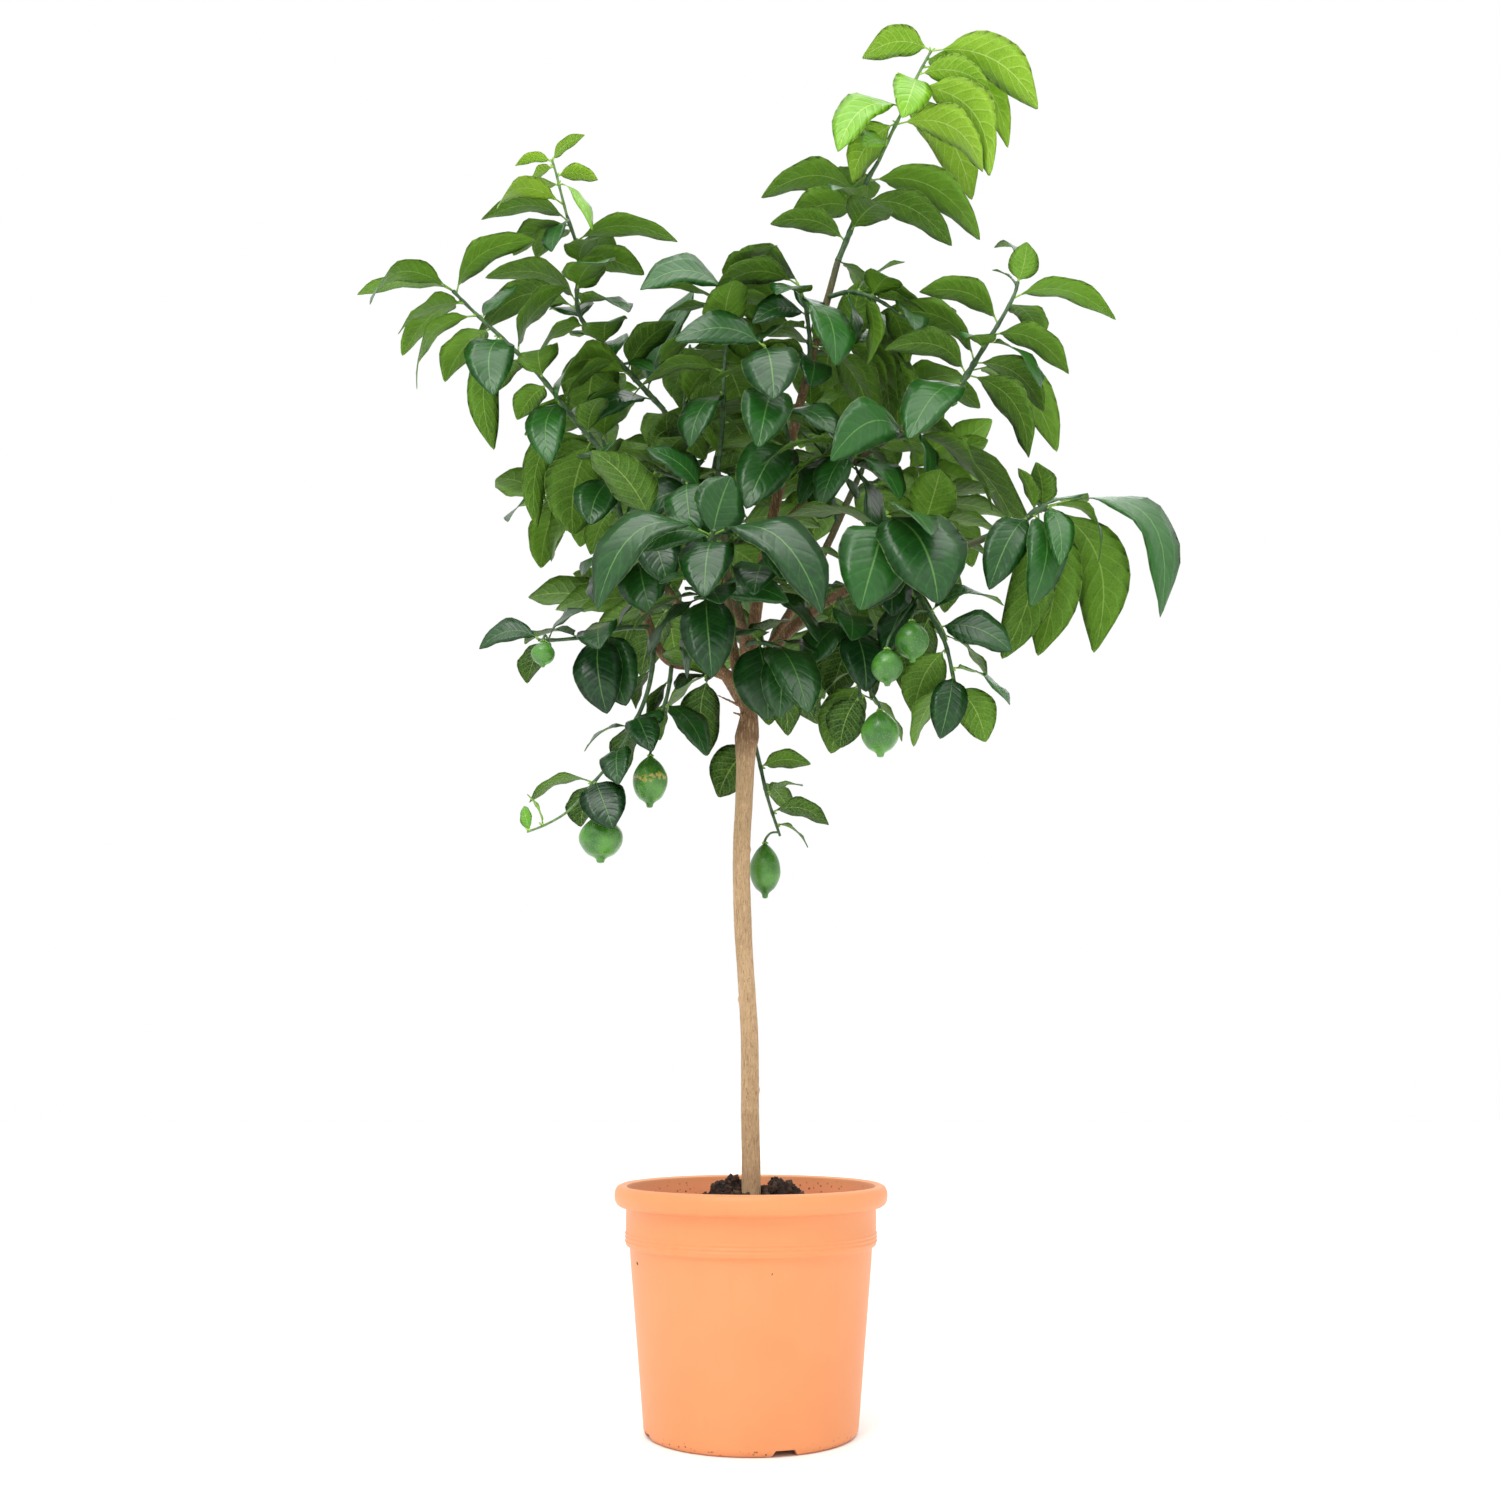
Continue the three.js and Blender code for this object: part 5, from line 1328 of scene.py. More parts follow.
@dataclass(frozen=True)
class Peel(Finish):
    """Unripe lemon peel with oil pits, with or without a corky scar at a height."""

    scar_height: float | None = None
    deep: str = "2a6119"
    fresh: str = "4c8a2b"
    pale: str = "82ab4e"
    scar: str = "b5a552"
    scar_half: float = 0.004
    patches: Cloud = Cloud(55)
    pits: float = 620
    scar_edge: Cloud = Cloud(110)
    scar_gaps: Cloud = Cloud(300)

    def paint(self) -> Material:
        """Writes the shader.

        Returns:
            The material.
        """
        p = Painter(self.name, Roughness=0.32, Coat_Weight=0.2, Coat_Roughness=0.25)
        patches, pits = p.cloud(self.patches), p.cells(self.pits)
        colour = p.mix(patches.step(0.3, 0.72), self.deep, self.fresh)
        colour = p.mix(pits.step(0.42, 0.12) * 0.3, colour, self.pale)
        height = pits.step(0.0, 0.4) * 0.8 + patches * 0.3
        if self.scar_height is not None:
            band = p.split(p.place)[2] - self.scar_height + (p.cloud(self.scar_edge) - 0.5) * 0.022
            mark = band.by("ABSOLUTE").step(self.scar_half, self.scar_half * 0.3)
            mark = mark * p.cloud(self.scar_gaps).step(0.42, 0.56)
            colour, height = p.mix(mark * 0.9, colour, self.scar), height + mark * 1.2
        return p.finish(colour, height, 0.28, 0.6)


@dataclass(frozen=True)
class PaleFloor(Finish):
    """The studio's plain floor."""

    colour: str
    shade: str
    patches: Cloud = Cloud(3, 2)

    def paint(self) -> Material:
        """Writes the shader."""
        p = Painter(self.name, Roughness=0.7)
        return p.finish(p.mix(p.cloud(self.patches) * 0.05, self.colour, self.shade))


class Age(Enum):
    """How old a shoot's leaves are."""

    MATURE = "mature"
    YOUNG = "young"


# deep and fresh are mixed per leaf by random variation and by painted shade that darkens leaves low and inside the
# crown.
LEAF_TOP = {
    Age.MATURE: LeafSkin("leaf_top", "082a11", "2d6c20", "3a7838", "6c9c4e", "76a64c", 0.32, 0.2, 0.45),
    Age.YOUNG: LeafSkin("young_leaf_top", "2f8013", "86be22", "a6d058", "c2e27c", "bddf74", 0.36, 0.45, 1.0)}
LEAF_UNDER = {
    Age.MATURE: LeafSkin("leaf_underside", "1d3c12", "6fa122", "7da545", "a0c060", "8db150", 0.58, 0.4, -0.8,
                         netting=0.22, specular=0.22),
    Age.YOUNG: LeafSkin("young_leaf_underside", "588d18", "98c22d", "b4d464", "cfe68a", "c5de7a", 0.55, 0.55,
                        -1.0, netting=0.22, specular=0.22)}
STALK = {Age.MATURE: StemSkin("leaf_stalk", "5f8f2c", "93b84a"),
         Age.YOUNG: StemSkin("young_leaf_stalk", "7fae3a", "a9cc5c")}
STEM = {Age.MATURE: StemSkin("green_stem", "274526", "47673a"),
        Age.YOUNG: StemSkin("young_stem", "4a6b3a", "6f9550")}
BARK = Bark("bark", "be9d77", "a48660", "6d4a2e", "543a27", "d3b88f", "35502f", (0.600, 0.632))
PEAT = Peat("peat", "1a110d", "3c291e", "66492f")
CRUMBS = Peat("peat_crumbs", "1c120d", "5a4030", "a08468")
# Its third colour, lit, is painted light on the pot's inner wall.
PLASTIC = MouldedPlastic("pot_plastic", "e2935f", "da8751", "fb9a69", "3a2417", 0.213)
PEEL = Peel("lemon_peel")
FLOOR = PaleFloor("studio_floor", "f4f4f3", "dcdcda")


# ---- leaves and stems

class LeafPart(IntEnum):
    """The parts of a leaf that are dressed each in its own way."""

    TOP = 0
    UNDERSIDE = 1
    STALK = 2


@dataclass(frozen=True)
class LeafBlank:
    """The blank that every leaf is bent from: rings round the leaf stalk and then round the blade.

    across: the points of a blade ring's top, from margin to margin. stations: its rings, from foot to tip.
    """

    UV_MAP = "leaf_blade"
    across: Row = (-1, -0.55, 0, 0.55, 1)
    stations: Row = (0.015, 0.05, 0.11, 0.19, 0.28, 0.38, 0.48, 0.58, 0.68, 0.78, 0.86, 0.93, 0.975)
    stalk_rings: int = 3
    groove: float = 0.4
    rib: float = -2.2

    def build(self) -> Object:
        """Makes the blank, whose points carry where on a leaf they belong.

        Its underside's faces start one corner on, so that both sides are split alike.

        Returns:
            The blank.
        """
        top = [(a, 0 if abs(a) == 1 else self.groove if a == 0 else 1) for a in self.across]
        ring = np.array(top + [(a, self.rib if a == 0 else -1) for a in reversed(self.across[1:-1])])
        (across, level), turn = ring.T, math.pi - np.arange(len(ring)) * 2 * math.pi / len(ring)
        station = np.array((0.0,) * self.stalk_rings + self.stations)
        rings, sides, top_sides = len(station), len(across), len(self.across) - 1
        number = np.arange(rings)
        blade = np.where(number < self.stalk_rings, 0, 1)
        run = np.where(blade, Leaf.PETIOLE + (1 - Leaf.PETIOLE) * station, Leaf.PETIOLE * number / self.stalk_rings)
        faces = [face if k % sides < top_sides else face[1:] + face[:1]
                 for k, face in enumerate(ring_faces(rings, sides, closed=False))]
        root, tip, last = rings * sides, rings * sides + 1, (rings - 1) * sides
        faces += [(root, (k + 1) % sides, k) for k in range(sides)]
        faces += [(tip, last + k, last + (k + 1) % sides) for k in range(sides)]
        made = new_object("leaf_blank", np.zeros((tip + 1, 3)), faces)
        even, whole = np.ones(sides), np.ones(rings)
        values = {}
        for name, down, around, at_tip in (
                ("run", run, even, 1), ("station", station, even, 1), ("across", blade, across, 0),
                ("level", blade, level, 0), ("round_side", whole, np.cos(turn), 0),
                ("round_up", whole, np.sin(turn), 0), ("roundness", 1 - blade, even, 0)):
            values[name] = np.append(np.outer(down, around), (0, at_tip))
            set_attribute(made.data, name, values[name])
        parts = np.tile([LeafPart.TOP] * top_sides + [LeafPart.UNDERSIDE] * (sides - top_sides), rings + 1)
        parts[:(self.stalk_rings - 1) * sides] = parts[last:root] = LeafPart.STALK
        set_attribute(made.data, "part", parts, "FACE")
        corners = np.zeros(len(made.data.loops), int)
        made.data.loops.foreach_get("vertex_index", corners)
        places = np.stack((values["station"], values["across"] * 0.5 + 0.5), 1)[corners]
        made.data.uv_layers.new(name=self.UV_MAP).data.foreach_set("uv", places.astype(np.float32).ravel())
        return made


class ShootTree(GrowthTree):
    """Geometry Nodes that grow a leafy shoot on a skeleton.

    Its edges become stems, and each loose point, which carries a leaf's spine and sizes, a leaf with a bud.
    """

    def __init__(self) -> None:
        """Writes the tree."""
        super().__init__("leafy_shoot", {
            "Leaf Blank": "Object", "Stem Sides": 8, "Blade Thickness": 0.0005, "Leaf Stalk Radius": 0.001,
            "Stalk Taper": 1.5, "Widest": 0.87, "Fullness": 0.57, "Tip Narrowing": 0.32, "Margin Wave": 0.045,
            "Waves": 13.0, "Wave Shift": 1.4, "Fold Easing": 0.08, "Twist": 0.12, "Bud Length": 0.0022,
            "Bud Reach": 0.003, "Leaf Top": "Material", "Leaf Underside": "Material", "Leaf Stalk": "Material",
            "Stem": "Material"})
        parts = self.node("GeometryNodeSeparateGeometry",
                          {"Geometry": self.host, "Selection": self.attribute("is_leaf")})
        leaves = self.out(parts, "Selection")
        grown = self.dress(self.grow_leaves(leaves), "Leaf Top")
        grown = self.dress(grown, "Leaf Underside", self.belongs_to(LeafPart.UNDERSIDE))
        grown = self.dress(grown, "Leaf Stalk", self.belongs_to(LeafPart.STALK))
        self.finish(self.merge(grown, self.dress(self.grow_stems(self.out(parts, "Inverted")), "Stem"),
                               self.dress(self.grow_buds(leaves), "Leaf Stalk")))

    def belongs_to(self, part: LeafPart) -> Field:
        """Whether a face belongs to a part of the leaf."""
        return self.add("FunctionNodeCompare", {"A": self.attribute("part"), "B": part, "Epsilon": 0.1},
                        data_type="FLOAT", operation="EQUAL")

    def grow_leaves(self, points: Field) -> Field:
        """Bends the blank along every leaf's spine.

        Args:
            points: the leaf points.

        Returns:
            The leaves.
        """
        source = self.add("GeometryNodeObjectInfo", {"Object": self.given["Leaf Blank"]}, "Geometry")
        real = self.realize(self.add("GeometryNodeInstanceOnPoints", {"Points": points, "Instance": source}))
        base, middle, tip, side = (self.attribute(name, "FLOAT_VECTOR") for name in ("base", "middle", "tip", "side"))
        s, t, across, level, width, fold, phase, lean, roundness, round_side, round_up = map(self.attribute, (
            "run", "station", "across", "level", "width", "fold", "phase", "lean", "roundness", "round_side",
            "round_up"))
        given, rest = self.given, 1 - s
        spine = base * (rest * rest) + middle * (rest * s * 2) + tip * (s * s)
        heading = ((middle - base) * rest + (tip - middle) * s).by("NORMALIZE")
        flat = side.by("CROSS_PRODUCT", heading).by("NORMALIZE")
        angle = lean * given["Twist"] * t
        sine, cosine = angle.by("SINE"), angle.by("COSINE")
        profile = (t ** given["Widest"] * math.pi).by("SINE") ** given["Fullness"]
        profile = profile * (1 - t.step(0.8, 1.0) * given["Tip Narrowing"])
        half = width * 0.5 * profile * across
        wave = (t * given["Waves"] + phase + across.by("SIGN") * given["Wave Shift"]).by("SINE")
        wave = given["Margin Wave"] * width * (wave * across * across * profile)
        hollow = half.by("ABSOLUTE") * (fold - across.by("ABSOLUTE") * given["Fold Easing"])
        thick = given["Leaf Stalk Radius"] * roundness * (1 - s * given["Stalk Taper"])
        rise = hollow + given["Blade Thickness"] * 0.5 * level + wave + round_up * thick
        place = (spine + (side * cosine + flat * sine) * (half + round_side * thick)
                 + (flat * cosine - side * sine) * rise)
        return self.add("GeometryNodeSetPosition", {"Geometry": real, "Position": place})

    def grow_stems(self, edges: Field) -> Field:
        """Turns edges into round stems of the radius that they carry.

        Args:
            edges: the edges.

        Returns:
            The stems.
        """
        circle = self.add("GeometryNodeCurvePrimitiveCircle", {"Resolution": self.given["Stem Sides"], "Radius": 1.0})
        return self.add("GeometryNodeCurveToMesh", {
            "Curve": self.add("GeometryNodeMeshToCurve", {"Mesh": edges}), "Profile Curve": circle,
            "Scale": self.attribute("radius"), "Fill Caps": True})

    def grow_buds(self, points: Field) -> Field:
        """Sets a bud in every leaf's axil.

        Args:
            points: the leaf points.

        Returns:
            The buds.
        """
        length = self.given["Bud Length"]
        ball = self.add("GeometryNodeMeshIcoSphere", {"Radius": 1.0, "Subdivisions": 1})
        axil = self.attribute("axil", "FLOAT_VECTOR")
        placed = self.add("GeometryNodeInstanceOnPoints", {
            "Points": points, "Instance": ball, "Scale": self.combine(length * 0.5, length * 0.5, length),
            "Rotation": self.add("FunctionNodeAlignRotationToVector", {"Vector": axil}, axis="Z")})
        return self.realize(self.add("GeometryNodeTranslateInstances", {
            "Instances": placed, "Translation": axil * self.given["Bud Reach"], "Local Space": False}))


@dataclass
class LeafyShoots:
    """Every shoot of the crown, each one piece: its stem, leaves, buds and fruit stalks. Sizes in mm.

    shaded, sunlit: (height, distance from the axis) of the darkest and the lightest leaves: painted shade, which
    darkens leaves low in the crown and near its axis, partly the real darker green of shade leaves. lit_tone: how
    much of this painted shade each of the two gives. draws: (name, least, most) of what is drawn for each leaf.
    """

    step: float = 5
    node_swelling: float = 0.22
    swelling_reach: float = 3
    stalk_radius: float = 1.1
    button_radius: float = 2.1
    stalk_bend: Row = (0.4, 0.6, 4)
    neck: float = 2
    neck_swelling: float = 1.2
    gap: float = 0.3
    broader: float = 1.13
    lit_tone: Row = (0.36, 0.24)
    draws: tuple[tuple[str, float, float], ...] = (
        ("tone", 0, 0.4), ("fold", 0.1, 0.24), ("phase", 0, 6.28), ("lean", -1, 1))
    axil_lean: float = 0.8
    shaded: Row = (700, 100)
    sunlit: Row = (1150, 300)
    seed: int = 7

    def fruit_stalks(self, shoot: GrownShoot) -> list[Path]:
        """Draws the stalks that bend down to a shoot's fruit.

        Args:
            shoot: the shoot.

        Returns:
            The stalks.
        """
        made = []
        for lemon in (lemon for lemon in LEMONS if lemon.on == shoot.plan.name):
            start = nearest_on(shoot.points, VIEW.place(lemon.stalk_from))
            end = lemon_top(lemon) + UP * self.gap
            neck = end + UP * self.neck
            bend = start * self.stalk_bend[0] + neck * self.stalk_bend[1] + UP * self.stalk_bend[2]
            radii = (*[self.stalk_radius] * 2, self.stalk_radius * self.neck_swelling, self.button_radius)
            made.append(smooth_path([start, bend, neck, end], radii, self.step / 2))
        return made

    def skeleton(self, shoot: GrownShoot, draw: np.random.Generator) -> Object:
        """Makes a skeleton: edges for stems, loose points for leaves.

        Args:
            shoot: the shoot.
            draw: the seeded numbers.

        Returns:
            The skeleton.
        """
        stem, radii = smooth_path(shoot.points, np.linspace(*shoot.plan.radii, len(shoot.points)), self.step)
        bases, rows = [nearest_on(stem, leaf.base) for leaf in shoot.leaves], []
        for leaf, base in zip(shoot.leaves, bases):
            near = np.linalg.norm(stem - base, axis=1)
            radii = radii * (1 + self.node_swelling * np.exp(-(near / self.swelling_reach) ** 2))
            i = min(int(np.argmin([norm(base - point) for point in shoot.points])), len(shoot.points) - 2)
            axil = unit(shoot.points[i + 1] - shoot.points[i]) * self.axil_lean + unit(leaf.middle - base)
            # Painted shade: a leaf low in the crown or near its axis is given a darker colour, partly the real darker
            # green of shade leaves.
            out = np.array((base[2], math.hypot(base[0], base[1])))
            light = np.clip((out - self.shaded) / np.subtract(self.sunlit, self.shaded), 0, 1) @ self.lit_tone
            rows.append({
                "is_leaf": 1, "base": base * MM, "middle": leaf.middle * MM, "tip": leaf.tip * MM, "side": leaf.side,
                "axil": unit(axil), "width": leaf.width * (self.broader * MM), "tone": light})
        carried = {name: np.array([row[name] for row in rows]) for name in rows[0]}
        for name, low, high in self.draws:
            carried[name] = carried.get(name, 0) + draw.uniform(low, high, len(rows))
        lines = [(stem, radii), *self.fruit_stalks(shoot)]
        edges, start = [], 0
        for line, _ in lines:
            edges += [(start + i, start + i + 1) for i in range(len(line) - 1)]
            start += len(line)
        made = new_object(f"{shoot.plan.name}_leaves", np.vstack([*(line for line, _ in lines), *bases]), edges=edges)
        set_attribute(made.data, "radius", np.concatenate([*(radii for _, radii in lines), np.zeros(len(rows))]) * MM)
        for name, values in carried.items():
            set_attribute(made.data, name, np.concatenate((np.zeros((start, *values.shape[1:])), values)))
        return made

    def build(self, shoots: Sequence[GrownShoot]) -> None:
        """Grows and dresses every shoot.

        Args:
            shoots: the shoots.
        """
        tree, blank = ShootTree(), LeafBlank().build()
        draw = np.random.default_rng(self.seed)
        for shoot in shoots:
            age = Age.YOUNG if shoot.plan.young else Age.MATURE
            piece = self.skeleton(shoot, draw)
            tree.run(piece, {
                "Leaf Blank": blank, "Leaf Top": LEAF_TOP[age].material(), "Stem": STEM[age].material(),
                "Leaf Underside": LEAF_UNDER[age].material(), "Leaf Stalk": STALK[age].material()})
            fit_to_frame(piece, "young_leaf" if shoot.plan.young else "leaf", shoot.plan.name)
        bpy.data.objects.remove(blank)


# ---- trunk and limbs

@dataclass
class Wood:
    """The trunk, its graft, the limbs and two spurs at the fork, as one skin. Sizes in mm.

    knots: (v in the front view, degrees from the front, height). spurs: (start, end, radius).
    """

    socket: float = 120
    step: float = 6
    sides: tuple[int, int, int] = (28, 14, 8)
    voxel: float = 1.3
    smoothing: tuple[float, int] = (0.5, 3)
    knots: tuple[Row, ...] = (
        (1112, -20, 1.3), (1090, 70, 1.1), (1046, 160, 1.4), (1000, -75, 1.5), (981, 30, 1.2), (943, -15, 1.5),
        (925, -140, 1.3), (850, 60, 1.6), (803, -12, 1.7), (742, 55, 2.2), (738, -60, 1.4), (722, 20, 1.2))
    knot_reach: Row = (4.2, 4.2, 2.52)
    knot_out: float = 8.5
    dimple: Row = (0.5, 7)
    spurs: tuple[tuple[Row, Row, float], ...] = (
        ((744, 716, -6), (733, 712.5, -16), 2.2), ((741, 706, -3), (716, 694.5, -16), 2.0))
    spur_tip: float = 0.9
    grain: tuple[Row, ...] = ((0.35, 0.14, 0.018), (0.22, 0.5, 0.05), (0.1, 1.1, 0.3))
    green_radius: Row = (5.2, 3.4)
    batches: int = 60

    def lines(self) -> list[Path]:
        """Draws the trunk, from its socket in the peat, and the limbs.

        Returns:
            Their paths.
        """
        trunk, first = VIEW.line(TRUNK_PATH), TRUNK_PATH[0]
        trunk.insert(0, np.array((trunk[0][0], trunk[0][1], self.socket)))
        made = [smooth_path(trunk, [row[3] for row in (first, *TRUNK_PATH)], self.step)]
        return made + [smooth_path(VIEW.line(rows), [row[3] for row in rows], self.step) for rows in LIMBS]

    def build(self) -> None:
        """Joins trunk and limbs into one skin, carves the bark and dresses it."""
        lines = self.lines()
        parts = [tube(*line, self.sides[min(i, 1)]) for i, line in enumerate(lines)]
        parts += [tube(*smooth_path(VIEW.line((start, end)), (radius, self.spur_tip), self.step / 2), self.sides[2])
                  for start, end, radius in self.spurs]
        piece = new_object("trunk_and_limbs", *joined(parts))
        skin = piece.modifiers.new("skin", "REMESH")
        skin.mode, skin.voxel_size, skin.use_smooth_shade = "VOXEL", self.voxel * MM, True
        even = piece.modifiers.new("even", "SMOOTH")
        even.factor, even.iterations = self.smoothing
        apply_modifiers(piece)
        self.carve(piece.data)
        self.age(piece.data, lines)
        fit_to_frame(piece, "bark", "trunk", BARK)

    def carve(self, mesh: Mesh) -> None:
        """Raises knots and furrows on the bark.

        Args:
            mesh: the skin.
        """
        places, normals = places_of(mesh) / MM, places_of(mesh, "normal")
        rise = np.array([sum(height * noise.noise(Vector((x * fine, y * fine, z * long)))
                             for height, fine, long in self.grain) for x, y, z in places])
        down_trunk = sorted(row[1::-1] for row in TRUNK_PATH)
        for v, turn, height in self.knots:
            angle = math.radians(turn)
            out = np.array((math.sin(angle), -math.cos(angle), 0)) * self.knot_out
            away = places - VIEW.place((np.interp(v, *zip(*down_trunk)), v, 0)) - out
            near = ((away / self.knot_reach) ** 2).sum(1)
            rise += height * np.exp(-near) - height * self.dimple[0] * np.exp(-near * self.dimple[1])
        mesh.vertices.foreach_set("co", ((places + normals * rise[:, None]) * MM).ravel())
        mesh.update()

    def age(self, mesh: Mesh, lines: Sequence[Path]) -> None:
        """Stores how green each point is: brown on thick wood, green on thin ends.

        Args:
            mesh: the skin.
            lines: the paths that it follows.
        """
        path, radii = (np.concatenate(parts) for parts in zip(*lines))
        nearest = np.concatenate([
            np.argmin(((part[:, None] - path[None]) ** 2).sum(2), axis=1)
            for part in np.array_split(places_of(mesh) / MM, self.batches)])
        brown, green = self.green_radius
        set_attribute(mesh, "green", np.clip((brown - radii[nearest]) / (brown - green), 0, 1))


# ---- fruit

def lemon_top(plan: LemonPlan) -> Point:
    """The place where a lemon's stalk meets it."""
    return VIEW.place(plan.at) + UP * (plan.half[1] * LEMON_OUTLINE[0][1])


@dataclass
class Fruit:
    """One lemon with its calyx, hanging under its stalk. Sizes in mm."""

    plan: LemonPlan
    segments: int = 48
    step: float = 1.4
    unevenness: Row = (0.035, 1.3, 0.1)
    calyx_lobes: int = 5
    lobe_sides: int = 6
    calyx_radius: float = 3.6
    calyx_notch: float = 0.28
    calyx_rings: tuple[Row, ...] = ((0.4, -0.5), (0.95, -0.7), (1.0, -0.15), (0.75, 1.1), (0.45, 1.5))
    scar_above: float = 2

    def skin(self) -> Shell:
        """Turns the fruit's outline, from the nipple up, and makes it a little uneven.

        Returns:
            The shell.
        """
        half, high = self.plan.half
        outline = [np.array((radius * half, 0.0, height * high)) for radius, height in reversed(LEMON_OUTLINE)]
        curve, _ = smooth_path(outline, [0.0] * len(outline), self.step)
        points, faces = lathe([(max(0.0, float(x)), float(z)) for x, _, z in curve], self.segments)
        centre, (depth, fine, shift) = VIEW.place(self.plan.at), self.unevenness
        spread = 1 + depth * np.array([
            noise.noise(Vector(point / half * fine) + Vector(centre * shift)) for point in points])
        return points * np.stack((spread, spread, np.ones(len(points))), 1) + centre, faces

    def calyx(self) -> Shell:
        """Makes the small green star between stalk and fruit.

        Returns:
            The shell.
        """
        sides = self.calyx_lobes * self.lobe_sides
        turn = np.arange(sides) * 2 * math.pi / sides
        rings = []
        for share, height in self.calyx_rings:
            depth = self.calyx_notch if share > 0.5 else 0
            radius = self.calyx_radius * share * (1 - depth + depth * np.cos(turn * self.calyx_lobes))
            rings.append(lemon_top(self.plan) + np.stack(
                (radius * np.cos(turn), radius * np.sin(turn), np.full(sides, height)), 1))
        return np.vstack(rings), ring_faces(len(rings), sides)

    def build(self) -> None:
        """Makes and dresses the fruit."""
        skin = self.skin()
        piece = new_object(f"{self.plan.name}_fruit", *joined((skin, self.calyx())))
        height = (float(VIEW.place(self.plan.at)[2]) + self.scar_above) * MM
        fit_to_frame(piece, "lemon_peel", self.plan.name,
                     Peel("scarred_peel", height) if self.plan.scar else PEEL, STALK[Age.MATURE])
        slots = (np.arange(len(piece.data.polygons)) >= len(skin[1])).astype(np.int32)
        piece.data.polygons.foreach_set("material_index", slots)


# ---- pot and soil

